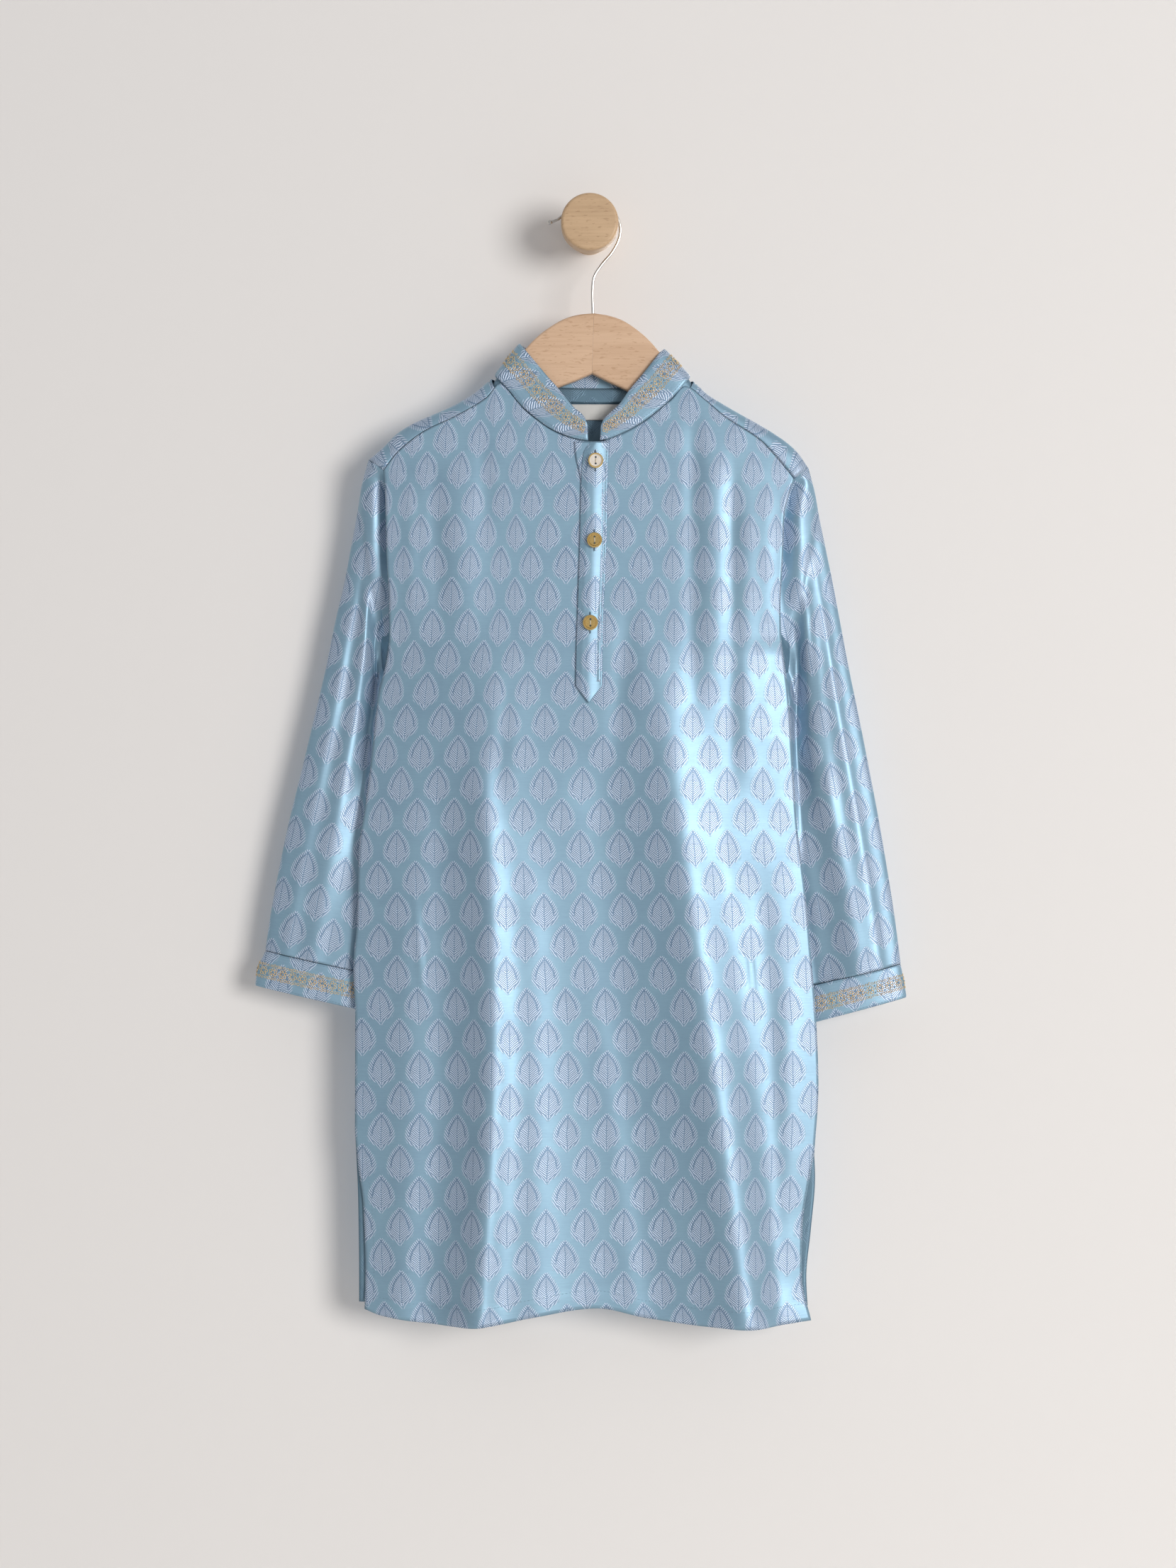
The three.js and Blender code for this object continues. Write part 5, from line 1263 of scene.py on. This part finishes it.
def pocket_bag(name, seam_x, fold_x, top, bottom):
    """A flat bag of two layers with rounded lower corners, sewn in the side seam."""
    share = np.linspace(0, 1, 31)[None]
    down = np.linspace(0, 1, 81)[:, None]
    corner = POCKET_ROUND / abs(fold_x - seam_x)
    turning = np.clip((down - POCKET_ROUND_FROM) / (1 - POCKET_ROUND_FROM), 0, 1)
    reach = 1 - corner * (1 - np.sqrt(1 - turning ** 2))
    x = mix(seam_x, fold_x, share * reach)
    z = mix(top, bottom, down) + 0 * share
    puff = 0.3 * np.sin(np.pi * share) * np.sin(np.pi * down)
    outer = point(x, front_depth(x, z) - POCKET_BEHIND - 0.3 + puff, z)
    inner = moved(outer, POCKET_CLOTH if fold_x < seam_x else -POCKET_CLOTH)
    flat = np.stack([x * MM, z * MM], axis=-1)
    return shell(name, outer, inner, flat, [SATIN_BACK])


# Stitches and loops of thread, placed along the cloth by Geometry Nodes

def scatter_tree(name, shape):
    """Small shapes of thread on points. Each point carries "along", "out" and "size"."""
    tree, start, end = node_group(
        name, "Geometry",
        [("Geometry", "Geometry", None), ("Length", "Float", None), ("Thickness", "Float", None),
         ("Material", "Material", None)],
        [("Geometry", "Geometry")])
    half = Amount(tree, start.outputs["Length"]) * 0.5
    thickness = start.outputs["Thickness"]
    if shape == "stitch":
        ball = add_node(tree, "GeometryNodeMeshUVSphere", Segments=7, Rings=5, Radius=1.0)
        reach = add_node(tree, "ShaderNodeCombineXYZ", X=half, Y=thickness, Z=thickness)
        shaped = add_node(tree, "GeometryNodeTransform", Geometry=ball.outputs["Mesh"],
                          Scale=reach.outputs["Vector"])
        made = shaped.outputs["Geometry"]
    else:
        ring = add_node(tree, "GeometryNodeCurvePrimitiveCircle", Resolution=10, Radius=half)
        thread = add_node(tree, "GeometryNodeCurvePrimitiveCircle", Resolution=5, Radius=thickness)
        tube = add_node(tree, "GeometryNodeCurveToMesh", Curve=ring.outputs["Curve"],
                        Profile_Curve=thread.outputs["Curve"])
        made = tube.outputs["Mesh"]

    def carried(label, kind):
        node = tree.nodes.new("GeometryNodeInputNamedAttribute")
        node.data_type = kind
        wire(tree, node, Name=label)
        return node.outputs["Attribute"]

    aimed = tree.nodes.new("FunctionNodeAxesToRotation")
    aimed.primary_axis = "Z"
    aimed.secondary_axis = "X"
    wire(tree, aimed, Primary_Axis=carried("out", "FLOAT_VECTOR"),
         Secondary_Axis=carried("along", "FLOAT_VECTOR"))
    placed = add_node(tree, "GeometryNodeInstanceOnPoints", Points=start.outputs["Geometry"],
                      Instance=made, Rotation=aimed.outputs["Rotation"],
                      Scale=carried("size", "FLOAT"))
    real = add_node(tree, "GeometryNodeRealizeInstances", Geometry=placed.outputs["Instances"])
    rounded = tree.nodes.new("GeometryNodeSetShadeSmooth")
    feed(tree, rounded.inputs[0], real.outputs["Geometry"])
    coated = add_node(tree, "GeometryNodeSetMaterial", Geometry=rounded.outputs[0],
                      Material=start.outputs["Material"])
    wire(tree, end, Geometry=coated.outputs["Geometry"])
    return tree


STITCH_TREE = scatter_tree("stitches_on_cloth", "stitch")
LOOP_TREE = scatter_tree("loops_on_cloth", "loop")


def scattered(name, tree, marks, length, thickness, material):
    """A piece of thread shapes. marks are (points, along, out, size) in metres."""
    places, along, out, size = (np.concatenate(part) for part in zip(*marks))
    mesh = bpy.data.meshes.new(name)
    mesh.from_pydata(places.tolist(), [], [])
    for label, values in (("along", along), ("out", out)):
        attribute = mesh.attributes.new(label, "FLOAT_VECTOR", "POINT")
        attribute.data.foreach_set("vector", values.reshape(-1).astype(np.float32))
    attribute = mesh.attributes.new("size", "FLOAT", "POINT")
    attribute.data.foreach_set("value", size.astype(np.float32))
    piece = linked(name, mesh)
    modifier = piece.modifiers.new("threads", "NODES")
    modifier.node_group = tree
    values = {"Length": length, "Thickness": thickness, "Material": material}
    for socket in tree.interface.items_tree:
        if socket.in_out == "INPUT" and socket.name in values:
            modifier[socket.identifier] = values[socket.name]
    depsgraph = bpy.context.evaluated_depsgraph_get()
    made = bpy.data.meshes.new_from_object(piece.evaluated_get(depsgraph))
    piece.modifiers.clear()
    piece.data = made
    for label in ("along", "out", "size"):
        if label in made.attributes:
            made.attributes.remove(made.attributes[label])
    made.name = name
    return piece


def on_grid(grid, row, column, outward=1.0, closed=False):
    """Points and outward normals at fractional rows and columns of a grid."""
    normal = normals_of(grid, closed) * outward
    rows, columns = grid.shape[:2]
    row = np.clip(row, 0, rows - 1.001)
    column = np.mod(column, columns) if closed else np.clip(column, 0, columns - 1.001)
    r = np.floor(row).astype(int)
    c = np.floor(column).astype(int)
    n = (c + 1) % columns
    fr = (row - r)[:, None]
    fc = (column - c)[:, None]

    def blend(values):
        upper = mix(values[r, c], values[r, n], fc)
        return mix(upper, mix(values[r + 1, c], values[r + 1, n], fc), fr)

    return blend(grid), blend(normal)


def stitch_row(grid, row, column, outward=1.0, closed=False, pitch=2.9, lift=0.05):
    """Evenly spaced stitches along a line of fractional rows and columns."""
    row, column = np.broadcast_arrays(row, column)
    points, normal = on_grid(grid, row, column, outward, closed)
    path = path_down(points)
    count = max(int(path[-1] / pitch), 1)
    middle = (np.arange(count) + 0.5) * path[-1] / count

    def along_line(values, at):
        return np.stack([np.interp(at, path, values[:, i]) for i in range(3)], axis=1)

    out = along_line(normal, middle)
    along = along_line(points, middle + 0.5) - along_line(points, middle - 0.5)
    return along_line(points, middle) + out * lift * MM, along, out, np.ones(count)


def above_edge(grid, distance, columns):
    """Fractional rows that lie a distance in millimetres above the grid's last row."""
    path = path_down(grid)[:, columns.astype(int)]
    return np.array([np.interp(line[-1] - distance, line, np.arange(len(grid))) for line in path.T])


LOOP_PITCH = 7.6
LOOP_RING = 2.35
SIDE_LOOPS = 4.7
SIDE_KNOTS = 2.6
LOOP_LIFT = 0.28
LOOP_SEED = 3


def band_of_loops(grid, middle, ends, outward=1.0, closed=False):
    """Rows of gold loops along a band: rings of six loops round a knot, with single loops
    above and below. middle is the band's middle as a share of the grid's rows, and ends the
    length in millimetres left bare at each end of an open band."""
    rows, columns = grid.shape[:2]
    middle_row = middle * (rows - 1)
    line = np.arange(columns + 1 if closed else columns)
    spine, _ = on_grid(grid, np.full(len(line), middle_row), line.astype(float), outward, closed)
    path = path_down(spine)
    tall = np.linalg.norm(grid[-1] - grid[0], axis=1).mean() / MM
    first, last = (0, path[-1]) if closed else (ends, path[-1] - ends)
    count = int(round((last - first) / LOOP_PITCH))
    pitch = (last - first) / count
    rng = np.random.default_rng(LOOP_SEED)
    loops, knots = [], []
    for k in range(count + (0 if closed else 1)):
        at = first + k * pitch
        turn = rng.uniform(0, math.tau)
        for j in range(6):
            angle = turn + j * math.tau / 6
            loops.append((at + LOOP_RING * math.cos(angle), LOOP_RING * math.sin(angle), 1.0))
        knots.append((at, 0.0, 1.0))
        for side in (-1, 1):
            for j in range(3):
                wander = rng.uniform(-0.25, 0.25)
                apart = side * (SIDE_LOOPS + 0.4 * (j % 2))
                loops.append((at + (j - 1) * pitch / 3 + wander, apart, 0.85))
            knots.append((at + pitch / 2, side * SIDE_KNOTS, 0.8))
    marks = []
    for items in (loops, knots):
        along_band, up, size = np.array(items).T
        if closed:
            along_band = np.mod(along_band, path[-1])
        else:
            kept = (along_band > first - 1.6) & (along_band < last + 1.6)
            along_band, up, size = along_band[kept], up[kept], size[kept]
        column = np.interp(along_band, path, line)
        row = middle_row + up / tall * (rows - 1)
        points, out = on_grid(grid, row, column, outward, closed)
        tilt = rng.normal(0, 0.16, points.shape)
        along = rng.normal(0, 1, points.shape)
        size = size * rng.uniform(0.86, 1.12, len(size))
        marks.append((points + out * LOOP_LIFT * MM, along, out + tilt, size))
    return marks


# Making the pieces

front, front_grid = front_panel()
yoke = yoke_panel()
back, back_grid = back_panel()
sleeve_left = sleeve("sleeve_left_cloth", LEFT_EDGE, -1, LEFT_SLEEVE, SLEEVE_CREASES_LEFT)
sleeve_right = sleeve("sleeve_right_cloth", RIGHT_EDGE, 1, RIGHT_SLEEVE, SLEEVE_CREASES_RIGHT)
cuff_left, cuff_left_grid = cuff("cuff_left_band", -1, LEFT_CUFF)
cuff_right, cuff_right_grid = cuff("cuff_right_band", 1, RIGHT_CUFF)
collar_band, collar_grid = collar()
underlap, _ = strip("underlap_strip", SATIN_FACE, UNDERLAP, 120, 14, SEAM_GAP)
placket, placket_grid = strip(
    "placket_strip", PLACKET_SATIN, PLACKET, 160, 24, OVER_UNDERLAP, PLACKET_POINT, True)
label = neck_label()
binding = neck_binding()
hanger_left = hanger_half("hanger_left_wood", -1)
hanger_right = hanger_half("hanger_right_wood", 1)
wall_peg = peg()
bag_left = pocket_bag("pocket_bag_left_cloth", -158.0, -127.5, -494.0, -594.0)
bag_right = pocket_bag("pocket_bag_right_cloth", 146.0, 122.0, -508.0, -595.0)

# Lines of stitches, in rows and columns of their pieces' grids.
COLLAR_STITCHES = (1.4, 14.6)
PLACKET_STITCHES = (22.2, 1.6)
CUFF_STITCHES = (1.6, 27.4)
SLIT_COLUMNS = (2.8, front_grid.shape[1] - 1.4)
SLIT_ROWS = (205, 247)

across_front = np.linspace(1, front_grid.shape[1] - 2, 120)
across_back = np.linspace(1, back_grid.shape[1] - 2, 120)
around_cuff = np.linspace(0, AROUND, 90)
along_collar = np.linspace(2, COLLAR_COLUMNS - 3, 200)
down_placket = np.linspace(1, placket_grid.shape[0] - 3, 120)
down_slit = np.linspace(*SLIT_ROWS, 40)
seams = [
    stitch_row(front_grid, above_edge(front_grid, HEM_FOLD, across_front), across_front),
    stitch_row(back_grid, above_edge(back_grid, HEM_FOLD, across_back), across_back, -1.0),
]
seams += [stitch_row(collar_grid, row, along_collar, pitch=2.4) for row in COLLAR_STITCHES]
seams += [stitch_row(placket_grid, down_placket, column, pitch=2.6) for column in PLACKET_STITCHES]
for grid, outward in ((cuff_left_grid, 1.0), (cuff_right_grid, -1.0)):
    seams += [stitch_row(grid, row, around_cuff, outward, True, 2.4) for row in CUFF_STITCHES]
seams += [stitch_row(front_grid, down_slit, column) for column in SLIT_COLUMNS]
stitches = scattered("seam_stitches", STITCH_TREE, seams, 1.9 * MM, 0.16 * MM, SEAM_THREAD)

gold, blue = [], []
for grid, middle, ends, outward, closed in (
        (collar_grid, 0.56, 5.0, 1.0, False), (cuff_left_grid, 0.52, 0.0, 1.0, True),
        (cuff_right_grid, 0.52, 0.0, -1.0, True)):
    loops, knots = band_of_loops(grid, middle, ends, outward, closed)
    gold.append(loops)
    blue.append(knots)
gold_work = scattered("gold_loops", LOOP_TREE, gold, 2.1 * MM, 0.22 * MM, GOLD_THREAD)
blue_work = scattered("blue_knots", STITCH_TREE, blue, 2.2 * MM, 0.55 * MM, BLUE_THREAD)


def give(node, material):
    """A better material for a CAD node that stays."""
    for place in bpy.data.objects[node].material_slots:
        place.material = material


UP = np.array([[0.0, 0.0, 1.0]])
TO_VIEWER = np.array([[0.0, -1.0, 0.0]])
GLARE_RADIUS = 4.6
THREAD_IN_BUTTON = 0.45  # the sewing thread lies this far behind the button's rim
BUTTONHOLE_END = 7.0
BUTTONHOLE_LIFT = 3.25

give("hanger_hook", NICKEL)
thread_marks, buttonhole_marks = [], []
for number in (1, 2, 3):
    low, high = (np.array(corner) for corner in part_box(f"button_{number}"))
    middle = (low + high) / 2
    face = GILT
    # The first button's pale middle is painted reflection: the glare of the window on its gilt face,
    # painted in as colour.
    if number == 1:
        face = painted_glare_material("gilt_and_painted_glare", middle, GLARE_RADIUS, (0.86, 0.62, 0.25),
                              (0.86, 0.80, 0.72))
    give(f"button_{number}", face)
    sewn = np.array([[middle[0], low[1] + THREAD_IN_BUTTON * MM, middle[2]]])
    thread_marks.append((sewn, UP, TO_VIEWER, np.ones(1)))
    for way in (-1, 1):
        x, z = middle[[0]] / MM, middle[[2]] / MM + way * BUTTONHOLE_END
        stub = point(x, front_depth(x, z) + BUTTONHOLE_LIFT, z)
        buttonhole_marks.append((stub, UP, TO_VIEWER, np.ones(1)))
button_thread = scattered(
    "button_thread", STITCH_TREE, thread_marks, 4.4 * MM, 0.5 * MM, SEWING_THREAD)
buttonholes = scattered(
    "buttonholes", STITCH_TREE, buttonhole_marks, 3.0 * MM, 0.42 * MM, BUTTONHOLE_THREAD)


# Stage, light and camera

CAMERA_PLACE = (-0.0013, -2.245, -0.422)
CAMERA_LENS = 66.9
ROOM = 3.0
WALL_Y = 0.0006  # just behind the peg's back face
WALL_TOP = 2.5
FLOOR_Z = -1.25


def plain_material(name, colour, one_sided=False):
    """Matt paint. One-sided paint is clear from behind, so that the back can be looked at."""
    material, tree, shader = new_material(name, Base_Color=(*colour, 1), Roughness=0.9)
    if one_sided:
        geometry = tree.nodes.new("ShaderNodeNewGeometry")
        clear = tree.nodes.new("ShaderNodeBsdfTransparent")
        choice = tree.nodes.new("ShaderNodeMixShader")
        shown = (geometry.outputs["Backfacing"], shader.outputs["BSDF"], clear.outputs["BSDF"])
        for socket, value in zip(choice.inputs, shown):
            feed(tree, socket, value)
        wire(tree, tree.nodes["Material Output"], Surface=choice.outputs["Shader"])
    return material


def stage_sheet(name, corners, material, shades=True):
    mesh = bpy.data.meshes.new(name)
    mesh.from_pydata(corners, [], [(0, 1, 2, 3)])
    mesh.materials.append(material)
    sheet = linked(name, mesh)
    sheet.visible_shadow = shades


stage_sheet("wall", [(-ROOM, WALL_Y, FLOOR_Z), (ROOM, WALL_Y, FLOOR_Z), (ROOM, WALL_Y, WALL_TOP),
                     (-ROOM, WALL_Y, WALL_TOP)],
            plain_material("wall_paint", (0.80, 0.775, 0.755), one_sided=True), shades=False)
stage_sheet("floor", [(-ROOM, -ROOM, FLOOR_Z), (ROOM, -ROOM, FLOOR_Z), (ROOM, ROOM, FLOOR_Z),
                      (-ROOM, ROOM, FLOOR_Z)],
            plain_material("floor_paint", (0.72, 0.71, 0.69)))


def area_light(name, place, aim, size, power, colour=(1, 1, 1)):
    light = bpy.data.lights.new(name, "AREA")
    light.shape = "DISK"
    light.size = size
    light.energy = power
    light.color = colour
    holder = linked(name, light)
    holder.location = place
    way = Vector(aim) - Vector(place)
    holder.rotation_euler = way.to_track_quat("-Z", "Y").to_euler()


area_light("window", (3.1, -4.7, 0.1), (0, 0, -0.5), 2.4, 194, (1.0, 0.985, 0.965))
area_light("behind", (0.9, 2.4, 0.4), (0, 0, -0.4), 1.6, 55)
world = bpy.data.worlds.new("pale_room")
bpy.context.scene.world = world
world.use_nodes = True
wire(world.node_tree, world.node_tree.nodes["Background"], Color=(0.97, 0.97, 1.0, 1), Strength=0.405)
bpy.context.scene.view_settings.view_transform = "Standard"

camera = linked("camera", bpy.data.cameras.new("camera"))
camera.location = CAMERA_PLACE
camera.rotation_euler = (math.pi / 2, 0, 0)
camera.data.lens = CAMERA_LENS
bpy.context.scene.camera = camera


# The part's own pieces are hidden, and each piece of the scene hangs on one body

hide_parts("front")
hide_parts("yoke")
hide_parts("back")
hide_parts("sleeve_head_left", "sleeve_left")
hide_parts("sleeve_head_right", "sleeve_right")
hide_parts("cuff_left")
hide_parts("cuff_right")
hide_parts("collar")
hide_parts("underlap")
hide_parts("placket")
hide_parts("neck_label")
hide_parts("hanger_left")
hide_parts("hanger_right")
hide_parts("wall_peg")
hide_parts("pocket_bag_left")
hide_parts("pocket_bag_right")
slots = {
    "satin": [front, yoke, back, sleeve_left, sleeve_right, underlap, placket, bag_left, bag_right,
              stitches, binding, button_thread, buttonholes],
    "embroidered_band": [cuff_left, cuff_right, collar_band, gold_work, blue_work],
    "label": [label],
    "hanger_wood": [hanger_left, hanger_right],
    "peg_wood": [wall_peg],
}
for name, pieces in slots.items():
    for piece in pieces:
        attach(piece, "root")
